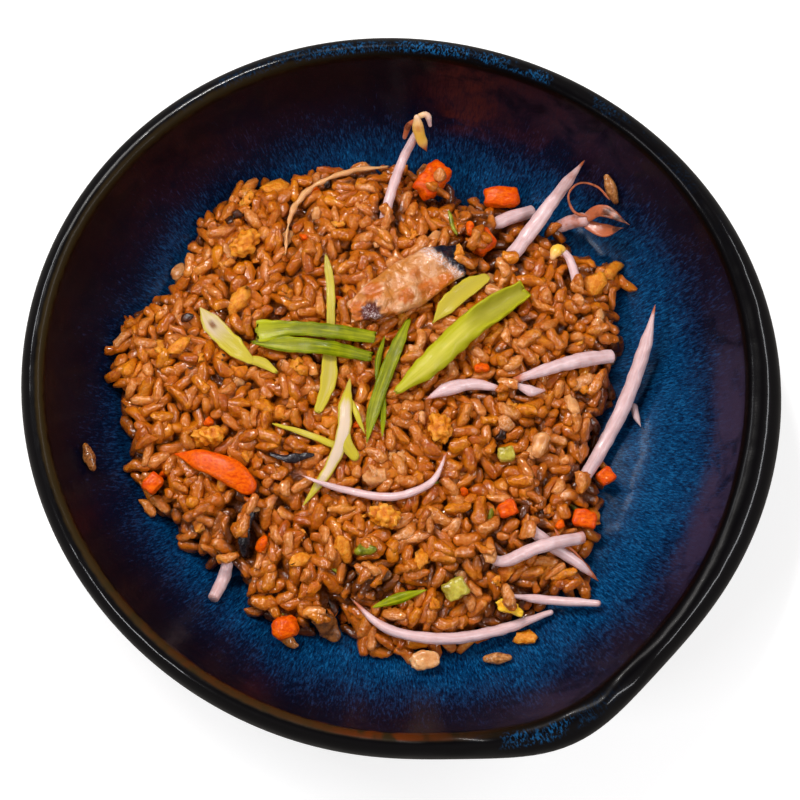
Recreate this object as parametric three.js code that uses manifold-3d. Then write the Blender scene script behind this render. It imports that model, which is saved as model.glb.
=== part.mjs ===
// A helping of fried rice in a hand-shaped blue bowl.
// Millimetres, +Z up. The origin is on the table, under the middle of the bowl.
import * as THREE from 'three';
import { mergeVertices } from 'three/addons/utils/BufferGeometryUtils.js';
import Module from 'manifold-3d';

const wasm = await Module();
wasm.setup();

// Rim of the bowl: a circle with slow waves in it, and one corner pinched out
const RIM_RADIUS = 100.44;
const RIM_WAVES = [
  { count: 1, rise: 0.43, turn: 4.45 },
  { count: 2, rise: 2.3, turn: 0.54 },
  { count: 3, rise: 0.36, turn: -1.31 },
  { count: 4, rise: 0.11, turn: -0.78 },
];
const CORNER = { angle: -1.126, spread: 0.226, reach: 5.24 };

// The rolled lip is broader on the right and at the corner
const LIP_WIDTH = 6.75;
const LIP_SWELLS = [
  { angle: -0.175, spread: 0.56, reach: 3.7 },
  { angle: -1.126, spread: 0.226, reach: 2.5 },
];
const LIP_ROLL = [[0, 40.5], [0.1, 43.6], [0.35, 45.6], [0.62, 46], [0.88, 45]];

// Inside of the bowl: a flat floor that turns up into a steep wall
const FLOOR_TOP = 8;
const WALL_RISE = 35;
const WALL_POWER = 7;
const INNER_STEPS = [0.994, 0.975, 0.948, 0.917, 0.882, 0.842, 0.796, 0.74, 0.66, 0.5, 0.22];

// Outside of the bowl: a ring foot, and a wall that swells out to the lip
const FOOT = { hollow: 46.5, inner: 47.5, outer: 52, top: 53.5, rise: 4, recess: 2.5 };
const OUTER_POWER = 2.2;
const OUTER_STEPS = [0.2, 0.42, 0.62, 0.8, 0.93];
const BOWL_FACETS = 48;

// The food was set down a little in front of the middle of the bowl.
// Every place below is measured from the food's own middle.
const FOOD_PLACE = new THREE.Vector3(0, -2.6, 0);

// Heap of rice: its reach from its middle in 36 directions, ten degrees apart
const HEAP_MIDDLE = [-7.4, 0];
const HEAP_REACH = [
  64.5, 68.5, 74, 79.5, 73, 71, 70, 66.5, 71, 72.5, 72, 72.5, 75, 74, 70, 67.5, 74.5, 75.5,
  70, 69.5, 68, 64, 62.5, 59, 64, 66, 58, 67, 70.5, 70, 69.5, 71, 76.5, 70, 68.5, 63,
];
const HEAP_HEIGHT = 21;
const HEAP_RINGS = 31;
const HEAP_UNDERSIDE = 0.5;
const HEAP_SHOULDER = 2.2;
const HEAP_SLOPE = 0.6;
const HEAP_UNDER_RINGS = [[36, 0.9], [24, 0.72], [12, 0.4]];
const BROAD_LUMP = { rise: 1.4, across: 4.9, along: 5.3 };
const FINE_LUMP = { rise: 0.4, slant: 3.4 };
const EDGE_LOBE = { rise: 1.3, coarse: 17, fine: 31, fade: 8 };

// Grains of rice, as low bumps on the heap, that fade out close to what lies on it
const GRAIN = { long: 8, thick: 3.8, spacing: 4.3, rise: 2.3, lowest: 0.45, room: 0.6, fade: 2.4 };

// Air between a piece and what it lies on
const GAP = 0.45;

// Where the ground under a piece is felt: shares of its half width, in so many directions
const FEELERS = { shares: [0.5, 0.85, 1], count: 8 };

// The last rows of a stalk are this close to its ends, and no row is felt for as narrower
const STALK = { tip: 0.02, narrowest: 0.4 };

// Unevenness of cut chunks, thinner at the corners, and of soft crumbs
const CHUNK = { corner: 0.14, side: 0.08, top: 0.05 };
const CRUMB_DENT = 0.2;

const FINISHES = {
  glaze: { color: 0x10323f, roughness: 0.15, metalness: 0 },
  rice: { color: 0xb0692a, roughness: 0.4, metalness: 0 },
  sprout: { color: 0xe3cdbd, roughness: 0.3, metalness: 0 },
  root: { color: 0xb98a52, roughness: 0.5, metalness: 0 },
  green: { color: 0x7fa01c, roughness: 0.35, metalness: 0 },
  pale_green: { color: 0xc3c45c, roughness: 0.35, metalness: 0 },
  carrot: { color: 0xe8590c, roughness: 0.3, metalness: 0 },
  egg: { color: 0xe59a22, roughness: 0.5, metalness: 0 },
  meat: { color: 0xe0a070, roughness: 0.3, metalness: 0 },
  fungus: { color: 0x1c1418, roughness: 0.3, metalness: 0 },
  mushroom: { color: 0x6b3a16, roughness: 0.4, metalness: 0 },
  onion: { color: 0xd9a878, roughness: 0.25, metalness: 0 },
};

// A repeatable stream of numbers from 0 to 1
function stream(seed) {
  let state = seed >>> 0;
  return () => {
    state = (state + 0x6d2b79f5) >>> 0;
    let mixed = Math.imul(state ^ (state >>> 15), 1 | state);
    mixed = (mixed + Math.imul(mixed ^ (mixed >>> 7), 61 | mixed)) ^ mixed;
    return ((mixed ^ (mixed >>> 14)) >>> 0) / 4294967296;
  };
}

// A smooth hump in a ring of directions
function hump(angle, { angle: middle, spread, reach }) {
  const turn = THREE.MathUtils.euclideanModulo(angle - middle + Math.PI, 2 * Math.PI) - Math.PI;
  return reach * Math.exp(-((turn / spread) ** 2));
}

function rimRadius(angle) {
  const waves = RIM_WAVES.map(({ count, rise, turn }) => rise * Math.cos(count * angle + turn));
  return waves.reduce((sum, wave) => sum + wave, RIM_RADIUS + hump(angle, CORNER));
}

function lipWidth(angle) {
  return LIP_SWELLS.reduce((sum, swell) => sum + hump(angle, swell), LIP_WIDTH);
}

const wallRadius = (angle) => rimRadius(angle) - lipWidth(angle);
const wallHeight = (share) => FLOOR_TOP + WALL_RISE * share ** WALL_POWER;

// Height of the inside of the bowl under a place of the food
function bowlHeight(x, y) {
  const [across, along] = [x + FOOD_PLACE.x, y + FOOD_PLACE.y];
  const share = Math.hypot(across, along) / wallRadius(Math.atan2(along, across));
  return wallHeight(Math.min(1, share));
}

// The bowl as a turned shape whose rings are then pulled out to the uneven rim
function bowlGeometry() {
  const rings = [];
  const ring = (height, reach) => rings.push({ height, reach });
  ring(FOOT.recess, () => 0);
  ring(FOOT.recess, () => FOOT.hollow);
  ring(0, () => FOOT.inner);
  ring(0, () => FOOT.outer);
  ring(FOOT.rise, () => FOOT.top);
  for (const share of OUTER_STEPS) {
    const height = FOOT.rise + (LIP_ROLL[0][1] - FOOT.rise) * share ** OUTER_POWER;
    ring(height, (angle) => FOOT.top + (rimRadius(angle) - FOOT.top) * share);
  }
  for (const [share, height] of LIP_ROLL) {
    ring(height, (angle) => rimRadius(angle) - lipWidth(angle) * share);
  }
  for (const share of INNER_STEPS) ring(wallHeight(share), (angle) => wallRadius(angle) * share);
  ring(FLOOR_TOP, () => 0);

  const profile = rings.map(({ height, reach }) => new THREE.Vector2(reach(0), height));
  const geometry = new THREE.LatheGeometry(profile, BOWL_FACETS).rotateX(Math.PI / 2);
  const place = geometry.attributes.position;
  for (let i = 0; i < place.count; i += 1) {
    const column = Math.floor(i / rings.length) % BOWL_FACETS;
    const angle = (column / BOWL_FACETS) * 2 * Math.PI - Math.PI / 2;
    const { height, reach } = rings[i % rings.length];
    place.setXYZ(i, reach(angle) * Math.cos(angle), reach(angle) * Math.sin(angle), height);
  }
  return geometry;
}

// Reach of the heap in any direction, eased between its neighbours
function heapReach(angle) {
  const turn = THREE.MathUtils.euclideanModulo(angle, 2 * Math.PI) / (2 * Math.PI);
  const spot = turn * HEAP_REACH.length;
  const from = Math.floor(spot) % HEAP_REACH.length;
  const ease = (1 - Math.cos(Math.PI * (spot - Math.floor(spot)))) / 2;
  return HEAP_REACH[from] * (1 - ease) + HEAP_REACH[(from + 1) % HEAP_REACH.length] * ease;
}

// Share of the way from the heap's middle to its edge
function heapShare(x, y) {
  const [dx, dy] = [x - HEAP_MIDDLE[0], y - HEAP_MIDDLE[1]];
  return Math.hypot(dx, dy) / heapReach(Math.atan2(dy, dx));
}

// Height of the rice without its grains, and of the bowl where there is no rice
function groundHeight(x, y) {
  const share = heapShare(x, y);
  const bowl = bowlHeight(x, y);
  if (share >= 1) return bowl;
  const broad = Math.sin(x / BROAD_LUMP.across + 0.6) * Math.sin(y / BROAD_LUMP.along - 0.4);
  const lump = BROAD_LUMP.rise * broad + FINE_LUMP.rise * Math.sin((x + y) / FINE_LUMP.slant + 2);
  const dome = HEAP_HEIGHT * (1 - share ** HEAP_SHOULDER) ** HEAP_SLOPE;
  return bowl + HEAP_UNDERSIDE + dome + lump * (1 - share ** 4);
}

// Lowest middle height at which a piece of this half width and half height clears the ground
function restHeight(x, y, wide, high) {
  let height = groundHeight(x, y) + high;
  for (const share of FEELERS.shares) {
    for (let turn = 0; turn < FEELERS.count; turn += 1) {
      const angle = (turn / FEELERS.count) * 2 * Math.PI;
      const [px, py] = [x + wide * share * Math.cos(angle), y + wide * share * Math.sin(angle)];
      height = Math.max(height, groundHeight(px, py) + high * Math.sqrt(1 - share * share));
    }
  }
  return height + GAP;
}

// What the grains keep clear of: round spots under the pieces that lie on the rice
const spots = [];
const keepClear = (x, y, radius) => spots.push({ x, y, radius });

// A value from a short list, eased along it as share goes from 0 to 1
function along(list, share) {
  const spot = Math.min(0.9999, Math.max(0, share)) * (list.length - 1);
  const from = Math.floor(spot);
  const ease = THREE.MathUtils.smoothstep(spot - from, 0, 1);
  return THREE.MathUtils.lerp(list[from], list[from + 1], ease);
}

// A stalk, ribbon or slice: a round or flat section led through points on the rice.
// Each point is x, y and how far the piece is lifted off what lies below it.
function stalkGeometry({ points, wide, flat = 1, boxy = 1, sides = 6, steps = 8 }) {
  const broadest = Math.max(...wide);
  const anchors = points.map(([x, y, lift]) => {
    return new THREE.Vector3(x, y, restHeight(x, y, broadest, broadest * flat) + lift);
  });
  const curve = new THREE.CatmullRomCurve3(anchors, false, 'centripetal');
  const rows = [];
  for (let row = 0; row <= steps; row += 1) {
    const inner = STALK.tip + ((1 - 2 * STALK.tip) * (row - 1)) / (steps - 2);
    const share = row === 0 || row === steps ? row / steps : inner;
    const middle = curve.getPointAt(share);
    const across = row === 0 || row === steps ? 0 : along(wide, share);
    const felt = Math.max(across, STALK.narrowest);
    middle.z = Math.max(middle.z, restHeight(middle.x, middle.y, felt, across * flat));
    rows.push({ middle, across });
  }
  const geometry = new THREE.SphereGeometry(1, sides, steps);
  const place = geometry.attributes.position;
  const squared = (value) => Math.sign(value) * Math.abs(value) ** boxy;
  for (let i = 0; i < place.count; i += 1) {
    const row = Math.floor(i / (sides + 1));
    const turn = ((i % (sides + 1)) / sides) * 2 * Math.PI;
    const { middle, across } = rows[row];
    const before = rows[Math.max(0, row - 1)].middle;
    const after = rows[Math.min(steps, row + 1)].middle;
    const ahead = after.clone().sub(before).normalize();
    const sideways = new THREE.Vector3(-ahead.y, ahead.x, 0).normalize();
    const upwards = ahead.clone().cross(sideways);
    const spot = middle.clone()
      .addScaledVector(sideways, -across * squared(Math.cos(turn)))
      .addScaledVector(upwards, across * flat * squared(Math.sin(turn)));
    place.setXYZ(i, spot.x, spot.y, spot.z);
  }
  for (const { middle, across } of rows) {
    const under = middle.z - across * flat - groundHeight(middle.x, middle.y);
    if (under < 1.5 * GRAIN.rise) keepClear(middle.x, middle.y, across);
  }
  return geometry;
}

// Raises a finished shape until no corner, edge or face middle of it is below the ground
function settle(geometry, lift = 0) {
  const place = geometry.attributes.position;
  const order = geometry.index;
  const corner = (i) => new THREE.Vector3().fromBufferAttribute(place, i);
  let rise = -Infinity;
  const test = (spot) => { rise = Math.max(rise, groundHeight(spot.x, spot.y) - spot.z); };
  for (let i = 0; i < order.count; i += 3) {
    const [a, b, c] = [0, 1, 2].map((k) => corner(order.getX(i + k)));
    [a, b, c].forEach(test);
    test(a.clone().add(b).multiplyScalar(0.5));
    test(b.clone().add(c).multiplyScalar(0.5));
    test(c.clone().add(a).multiplyScalar(0.5));
    test(a.clone().add(b).add(c).multiplyScalar(1 / 3));
  }
  return geometry.translate(0, 0, rise + GAP + lift);
}

// A factor that is up to this much over or under 1
const uneven = (much, draw) => 1 - much + 2 * much * draw();

// A rough chunk cut with a knife: a box with its corners moved a little
function chunkGeometry({ at, size, yaw = 0, lean = 0, seed, lift = 0 }) {
  const draw = stream(seed);
  const source = mergedShape(new THREE.BoxGeometry(...size, 2, 1, 1));
  const place = source.attributes.position;
  for (let i = 0; i < place.count; i += 1) {
    const spot = new THREE.Vector3().fromBufferAttribute(place, i);
    const corner = ((2 * spot.x) / size[0]) ** 2 * ((2 * spot.y) / size[1]) ** 2;
    const nudge = (1 - CHUNK.corner * corner) * uneven(CHUNK.side, draw);
    place.setXYZ(i, spot.x * nudge, spot.y * nudge, spot.z * uneven(CHUNK.top, draw));
  }
  source.rotateY(lean).rotateZ(yaw).translate(at[0], at[1], 0);
  keepClear(at[0], at[1], Math.hypot(size[0], size[1]) / 2);
  return settle(source, lift);
}

// A soft crumb, such as scrambled egg: a round lump with dents
function crumbGeometry({ at, size, yaw = 0, seed, lift = 0 }) {
  const draw = stream(seed);
  const source = mergedShape(new THREE.SphereGeometry(0.5, 6, 5));
  const place = source.attributes.position;
  for (let i = 0; i < place.count; i += 1) {
    const spot = new THREE.Vector3().fromBufferAttribute(place, i);
    spot.multiplyScalar(uneven(CRUMB_DENT, draw));
    place.setXYZ(i, spot.x * size[0], spot.y * size[1], spot.z * size[2]);
  }
  source.rotateZ(yaw).translate(at[0], at[1], 0);
  keepClear(at[0], at[1], Math.max(size[0], size[1]) / 2);
  return settle(source, lift);
}

// Leaves only the corners and the faces, with shared corners joined
function mergedShape(geometry) {
  geometry.deleteAttribute('normal');
  geometry.deleteAttribute('uv');
  return mergeVertices(geometry, 1e-4);
}

function asSolid(geometry) {
  const merged = geometry.attributes.uv ? mergedShape(geometry) : geometry;
  const vertProperties = new Float32Array(merged.attributes.position.array);
  const triVerts = new Uint32Array(merged.index.array);
  return new wasm.Manifold(new wasm.Mesh({ numProp: 3, vertProperties, triVerts }));
}

function asGeometry(solid) {
  const { vertProperties, triVerts } = solid.getMesh();
  const geometry = new THREE.BufferGeometry();
  geometry.setAttribute('position', new THREE.BufferAttribute(vertProperties, 3));
  geometry.setIndex(new THREE.BufferAttribute(triVerts, 1));
  return geometry;
}

// One piece that forks: its branches joined into one body
function fused(branches) {
  const solids = branches.map((branch) => asSolid(stalkGeometry(branch)));
  return asGeometry(solids.reduce((whole, branch) => whole.add(branch)));
}

const plate = new THREE.Group();
const food = new THREE.Group();
food.position.copy(FOOD_PLACE);
plate.add(food);

function piece(name, finish, geometry) {
  const mesh = new THREE.Mesh(geometry, new THREE.MeshStandardMaterial(FINISHES[finish]));
  mesh.name = name;
  return mesh;
}

const add = (name, finish, geometry) => food.add(piece(name, finish, geometry));

plate.add(piece('bowl', 'glaze', bowlGeometry()));

// Bean sprouts: crisp white stems, each a list of joined branches
const SPROUTS = [
  // Stands up at the back, with its yellow seed leaves hooked over
  [
    {
      points: [[-5.1, 53.3, 0], [-2.6, 62.5, 3], [0.5, 72.1, 7.5], [3, 76, 8.5], [5.2, 78.6, 11]],
      wide: [1.9, 1.8, 1.7, 1.5], sides: 7, steps: 9,
    },
    {
      points: [[4.2, 81.2, 12.5], [5, 77.4, 12], [7.2, 73.6, 8.5]],
      wide: [0.8, 1.6, 1.5, 0.4], steps: 6,
    },
    {
      points: [[4.6, 80.6, 12.2], [2.2, 79.6, 11], [0.8, 76.8, 9.5]],
      wide: [0.5, 0.9, 0.6], sides: 5, steps: 5,
    },
    {
      points: [[4.4, 81, 12], [7, 81.6, 11.6], [8.2, 79, 11]],
      wide: [0.8, 0.9, 0.5], sides: 5, steps: 5,
    },
  ],
  // The thickest, leaning out of the heap to a brown tip
  [{
    points: [[29, 41, 0.2], [36.4, 51, 3.5], [43.5, 60.5, 7], [50.6, 67, 12]],
    wide: [2.5, 2.9, 2.4, 0.3], flat: 0.75, sides: 7, steps: 9,
  }],
  // Short, beside the foot of the thickest
  [{
    points: [[24, 52.3, 0], [31, 56, 0.5], [37.6, 58.8, 0.8]],
    wide: [0.7, 2, 1.9, 1.8], flat: 0.9,
  }],
  // Reaches out over the glaze and opens into two browned leaves
  [
    { points: [[42.2, 52.8, 0.5], [47.4, 54.2, 4], [52.6, 54, 7]], wide: [1.9, 2.2, 2.2] },
    {
      points: [[51.5, 54.3, 7], [56, 55.3, 9.5], [63.5, 50.6, 9]],
      wide: [1.4, 1.8, 0.2], flat: 0.6, steps: 7,
    },
    {
      points: [[51.5, 53.5, 6.4], [56.5, 50.8, 7], [62, 50.3, 8.4]],
      wide: [1.4, 1.9, 0.2], flat: 0.6, steps: 7,
    },
  ],
  // Bent over, with a yellow seed leaf
  [
    {
      points: [[49.4, 35.3, 0], [48.6, 39.7, 1], [47.4, 43.6, 2.5], [45.4, 46, 3.4]],
      wide: [1.7, 1.7, 1.6, 1.3], steps: 8,
    },
    {
      points: [[46.4, 45.8, 3.2], [44.2, 46, 2.8], [42.2, 42.8, 1.6]],
      wide: [0.9, 1.4, 0.4], steps: 7,
    },
  ],
  // The longest at the right, bridging from the heap to its thin tip
  [{
    points: [
      [70.7, 29.1, 7.5], [67.9, 17.3, 6.5], [62.2, 1.8, 4], [56, -10.1, 1.2], [49.7, -20.5, 0.4],
    ],
    wide: [0.3, 1.9, 2, 1.9, 1.7], sides: 7, steps: 10,
  }],
  // Flat and broad, forked at its left end
  [
    {
      points: [[30.6, 7, 0], [40.7, 10.8, 0.8], [49.8, 13.9, 1.2], [59.3, 16.1, 1.2]],
      wide: [0.9, 1.7, 2.1, 1.9], flat: 0.8,
    },
    {
      points: [[31.2, 6.4, 0], [35.6, 4.6, 0], [40, 5, 0]],
      wide: [0.6, 1.5, 0.4], flat: 0.7, steps: 7,
    },
  ],
  // Wavy, leading up to the fork
  [{
    points: [[6.5, 1.4, 0], [12.8, 4.4, 0.2], [20.3, 6, 0.2], [27.6, 4.8, 0]],
    wide: [0.4, 1.9, 1.6, 0.8], flat: 0.8,
  }],
  // Thin and curved like a bow, over the tip of a split leaf
  [{
    points: [
      [-27.2, -19.6, 1.2], [-22.5, -21.6, 1.9], [-15.4, -23.4, 0.5],
      [-1.7, -25.3, 0.2], [8.4, -21.2, 0.3], [12.5, -13, 0.2],
    ],
    wide: [0.3, 1.2, 1.5, 1.3, 0.3], steps: 11,
  }],
  // Crosses over the next one
  [{
    points: [[22.9, -39.8, 0], [26.8, -42.4, 0], [38, -38.7, 4.6], [50.1, -35.5, 3.4]],
    wide: [1.2, 1.8, 1.8, 1.7], flat: 0.85,
  }],
  // Lies below the one before, down to a brown tip
  [{
    points: [[34, -32.4, 0.3], [40.9, -37.8, 0], [47.9, -42.1, 0.2], [54.5, -47.3, 0.6]],
    wide: [1.6, 1.7, 1.5, 0.3],
  }],
  // The long one along the front edge of the heap
  [{
    points: [[-14.1, -52, 0], [-4.5, -60.3, 0.2], [10.6, -63.3, 0.8], [26, -60.9, 1], [42, -55.4, 0.5]],
    wide: [0.3, 1.8, 2.1, 1.9, 0.9], sides: 7, steps: 11,
  }],
  // Pokes out at the front right
  [{
    points: [[29.6, -51.4, 0], [40, -52.4, 1.2], [54.6, -53.8, 2]],
    wide: [0.7, 1.7, 1.7, 1.1], steps: 8,
  }],
  // Short stub at the front left
  [{
    points: [[-47.8, -41.7, 0.2], [-49.3, -46.4, 0.4], [-51.8, -52.2, 0]],
    wide: [1.7, 1.8, 1.6], steps: 7,
  }],
  // Thin tip behind the longest
  [{
    points: [[65.4, 3.4, 0.2], [66, 0.4, 0.4], [67.4, -3.4, 0]],
    wide: [1.1, 1, 0.3], sides: 6, steps: 6,
  }],
];
SPROUTS.forEach((branches, i) => add(`bean_sprout_${i + 1}`, 'sprout', fused(branches)));

// The dry brown root of a sprout, curved over the rice
add('sprout_root', 'root', stalkGeometry({
  points: [
    [-3.8, 71.5, 0.3], [-16, 69.2, 0.3], [-26.4, 63.5, 0.4], [-31.1, 55.7, 0.3], [-32.5, 43.4, 0.1],
  ],
  wide: [0.7, 0.9, 0.8, 0.4], sides: 5, steps: 11,
}));

// Spring onion: shredded leaves, from green tops to the pale part near the root
const SPRING_ONIONS = {
  split_pale: ['pale_green', [
    {
      points: [[-56.5, 29.3, 0], [-52, 23, 0.2], [-45.9, 16.6, 0.2], [-41, 12.4, 0]],
      wide: [0.9, 2.9, 2.8, 1.2], flat: 0.32, sides: 7,
    },
    {
      points: [[-43.2, 13.4, 0], [-39.4, 12.8, 0], [-34.4, 9.4, 0]],
      wide: [1.2, 1.5, 0.7], flat: 0.4, steps: 7,
    },
  ]],
  green_fork: ['green', [
    {
      points: [[-39.6, 20.6, 2.2], [-28, 21.4, 1.8], [-16.9, 19.8, 2.6], [-7.4, 18.6, 1.4]],
      wide: [3.2, 2, 2, 1.8], flat: 0.34, sides: 7, steps: 9,
    },
    {
      points: [[-40.6, 17.6, 2.2], [-30.7, 16.9, 1.8], [-19.6, 15.4, 2.6], [-8.6, 13.4, 1.2]],
      wide: [2.2, 2.3, 2, 1.5], flat: 0.34, sides: 7, steps: 9,
    },
  ]],
  long_pale: ['pale_green', [
    {
      points: [[-21, 42.9, 0], [-19.6, 33, 0], [-19.7, 15.5, 0], [-20.2, 5.7, 0], [-23, -2, 0]],
      wide: [1.1, 1.2, 1.2, 2.3, 1.3], flat: 0.36, sides: 7, steps: 11,
    },
  ]],
  frayed_green: ['green', [
    {
      points: [
        [2.1, 24.2, 0.4], [-1.5, 15.4, 0.6], [-4.2, 8.4, 0.6], [-7.5, -1.5, 0.6], [-9.4, -10.6, 0.3],
      ],
      wide: [0.8, 1.9, 1.9, 1.8, 0.4], flat: 0.5, sides: 7, steps: 9,
    },
    {
      points: [[-5.4, 4, 0.2], [-5, -2, 0], [-5.2, -9, 0]],
      wide: [1, 0.9, 0.3], flat: 0.5, sides: 6, steps: 6,
    },
  ]],
  white_split: ['pale_green', [
    {
      points: [
        [-14.1, 7.6, 0], [-15.2, 0, 0.3], [-15.9, -8.4, 0.3], [-19.5, -17.2, 0.2], [-26.9, -27.6, 0],
      ],
      wide: [0.5, 2, 1.8, 1.4, 0.4], flat: 0.4, sides: 7, steps: 10,
    },
    {
      points: [[-15.2, -6, 0.3], [-15, -10.6, 0.3], [-12.2, -15.2, 0]],
      wide: [1, 1.7, 1.4], flat: 0.4, steps: 6,
    },
    {
      points: [[-35.5, -5, 0], [-26.5, -7.5, 0], [-16.4, -12, 0.7]],
      wide: [0.4, 0.9, 1], flat: 0.6, sides: 5, steps: 7,
    },
  ]],
  pale_leaf: ['pale_green', [
    {
      points: [[8.8, 23.6, 0], [13.5, 29.2, 0], [18.6, 33.8, 0.2], [24.4, 37.4, 0.2]],
      wide: [0.8, 2.6, 2.6, 1.4], flat: 0.28, sides: 7,
    },
  ]],
  thin_green: ['green', [
    {
      points: [[-8, -54.8, 0], [-0.4, -52.4, 0], [7, -50.2, 0]],
      wide: [0.6, 1.5, 0.4], flat: 0.5, steps: 8,
    },
  ]],
};
for (const [name, [finish, branches]] of Object.entries(SPRING_ONIONS)) {
  add(`spring_onion_${name}`, finish, fused(branches));
}

// The thick shoot: a tube of leaf, cut open into a trough at its upper end
const SHOOT = {
  points: [[-1.4, 3, 1.4], [7.9, 10.8, 1.2], [20.4, 23.1, 1.2], [34.4, 33.4, 1.6]],
  wide: [1.2, 3.4, 3.7, 3.8, 2.8], flat: 0.62, sides: 8, steps: 11,
};
const TROUGH = {
  points: [[22.4, 24.4, 4.2], [28.6, 29.4, 3.8], [38, 36.4, 4]],
  wide: [0.5, 1.8, 2.2], flat: 0.9, sides: 6, steps: 6,
};
add('spring_onion_shoot', 'green', asGeometry(
  asSolid(stalkGeometry(SHOOT)).subtract(asSolid(stalkGeometry(TROUGH))),
));

// A flake of pale cooked meat with a browned corner
add('meat_flake', 'meat', stalkGeometry({
  points: [
    [-13.8, 25.6, 0.2], [-5.3, 29.6, 0.4], [2.4, 34.2, 0.6], [10.6, 39.4, 0.4], [16.6, 41.4, 0.2],
  ],
  wide: [3, 5.6, 7, 6.4, 4.6], flat: 0.42, boxy: 0.72, sides: 12, steps: 10,
}));

// Carrot: one lens-shaped slice, and small cut chunks
add('carrot_slice', 'carrot', stalkGeometry({
  points: [[-62.6, -12.6, 0.2], [-54.1, -15, 0.3], [-46.5, -18.4, 0.4], [-40.3, -23.6, 0.3]],
  wide: [0.5, 3, 3.7, 2.6], flat: 0.5, boxy: 0.8, sides: 9, steps: 9,
}));
const CARROT_CHUNKS = [
  { at: [8.8, 66.4], size: [11, 7, 5.4], yaw: 0.9, lean: 0.15, seed: 1, lift: 0.4 },
  { at: [28.6, 62.2], size: [9.6, 5.6, 5], yaw: 0.02, seed: 2 },
  { at: [22.8, 47.4], size: [7, 6, 5], yaw: 0.7, seed: 3 },
  { at: [-31.8, -60.3], size: [7, 6, 5.4], yaw: 0.3, seed: 4 },
  { at: [50.6, -30.2], size: [6.4, 5, 4], yaw: -0.2, seed: 5 },
  { at: [57, -17.8], size: [4.8, 4.4, 3.8], yaw: 0.6, seed: 6 },
  { at: [-68.6, -20.6], size: [5.6, 4.6, 4], yaw: 0.9, seed: 7 },
  { at: [29, -28.4], size: [5, 4.4, 4], yaw: 0.4, seed: 8 },
];
CARROT_CHUNKS.forEach((chunk, i) => add(`carrot_chunk_${i + 1}`, 'carrot', chunkGeometry(chunk)));

// Scrambled egg: the larger crumbs
const EGG_CRUMBS = [
  { at: [-43.9, 46.9], size: [9, 6, 5], yaw: 0.8, seed: 11 },
  { at: [-52.8, -8], size: [9, 5, 4.5], yaw: 0.1, seed: 12 },
  { at: [-4.4, -30.6], size: [8, 6, 4.5], yaw: -0.5, seed: 13 },
  { at: [10.6, -6.6], size: [6, 8, 4.5], yaw: 0.3, seed: 14 },
  { at: [29.4, -54.6], size: [7.4, 3.2, 3], yaw: -0.45, seed: 15 },
];
EGG_CRUMBS.forEach((crumb, i) => add(`egg_crumb_${i + 1}`, 'egg', crumbGeometry(crumb)));

// Black fungus, brown mushroom and softened onion
add('fungus_strip_1', 'fungus', stalkGeometry({
  points: [[-40.4, -26, 0], [-42.6, -31, 0.2], [-43.2, -36, 0.2], [-43, -40.6, 0]],
  wide: [1, 2.2, 1.8, 0.8], flat: 0.5, steps: 8,
}));
add('fungus_strip_2', 'fungus', stalkGeometry({
  points: [[-36, -13.2, 0], [-31, -14.6, 0.2], [-24, -13.6, 0]],
  wide: [0.6, 1.2, 0.6], flat: 0.6, sides: 6, steps: 7,
}));
add('mushroom_slice_1', 'mushroom', stalkGeometry({
  points: [[-12.4, -44.4, 0], [-7.4, -46.4, 0.2], [-2.6, -46, 0]],
  wide: [1.2, 2.6, 1.2], flat: 0.4, steps: 7,
}));
add('mushroom_slice_2', 'mushroom', stalkGeometry({
  points: [[-23.4, -57.2, 0], [-20, -60, 0.2], [-17.6, -63.6, 0]],
  wide: [1.8, 3, 1.8], flat: 0.4, steps: 7,
}));
const ONION_BITS = [
  { at: [28.8, -13.3], size: [4.4, 4, 3.2], yaw: 0.2, seed: 21 },
  { at: [14.8, -50], size: [6.4, 5.4, 3.2], yaw: 0.5, seed: 22 },
  { at: [6.3, -69], size: [8, 5, 2.6], yaw: 0.1, seed: 23 },
];
ONION_BITS.forEach((bit, i) => add(`onion_bit_${i + 1}`, 'onion', chunkGeometry(bit)));

// Three grains lie on the glaze, away from the heap
const LOOSE_GRAINS = [
  { at: [-85.2, -14.5], yaw: 1.9 },
  { at: [58.8, 61.6], yaw: 2 },
  { at: [26.4, -68.4], yaw: 0.05 },
];
LOOSE_GRAINS.forEach(({ at: [x, y], yaw }, i) => {
  const [dx, dy] = [(Math.cos(yaw) * GRAIN.long) / 2, (Math.sin(yaw) * GRAIN.long) / 2];
  add(`loose_grain_${i + 1}`, 'rice', stalkGeometry({
    points: [[x - dx, y - dy, 0], [x, y, 0], [x + dx, y + dy, 0]],
    wide: [0.9, 1.7, 0.8], sides: 6, steps: 5,
  }));
});

// Grains spread over the heap, one in each square of a loose grid
function scatterGrains() {
  const draw = stream(205);
  const grains = [];
  const far = Math.max(...HEAP_REACH);
  const [left, front] = [HEAP_MIDDLE[0] - far, HEAP_MIDDLE[1] - far];
  for (let x = left; x < left + 2 * far; x += GRAIN.spacing) {
    for (let y = front; y < front + 2 * far; y += GRAIN.spacing) {
      grains.push({
        x: x + (draw() - 0.5) * GRAIN.spacing,
        y: y + (draw() - 0.5) * GRAIN.spacing,
        yaw: draw() * Math.PI,
        rise: GRAIN.rise * THREE.MathUtils.lerp(GRAIN.lowest, 1, draw()),
      });
    }
  }
  return grains;
}

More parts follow.
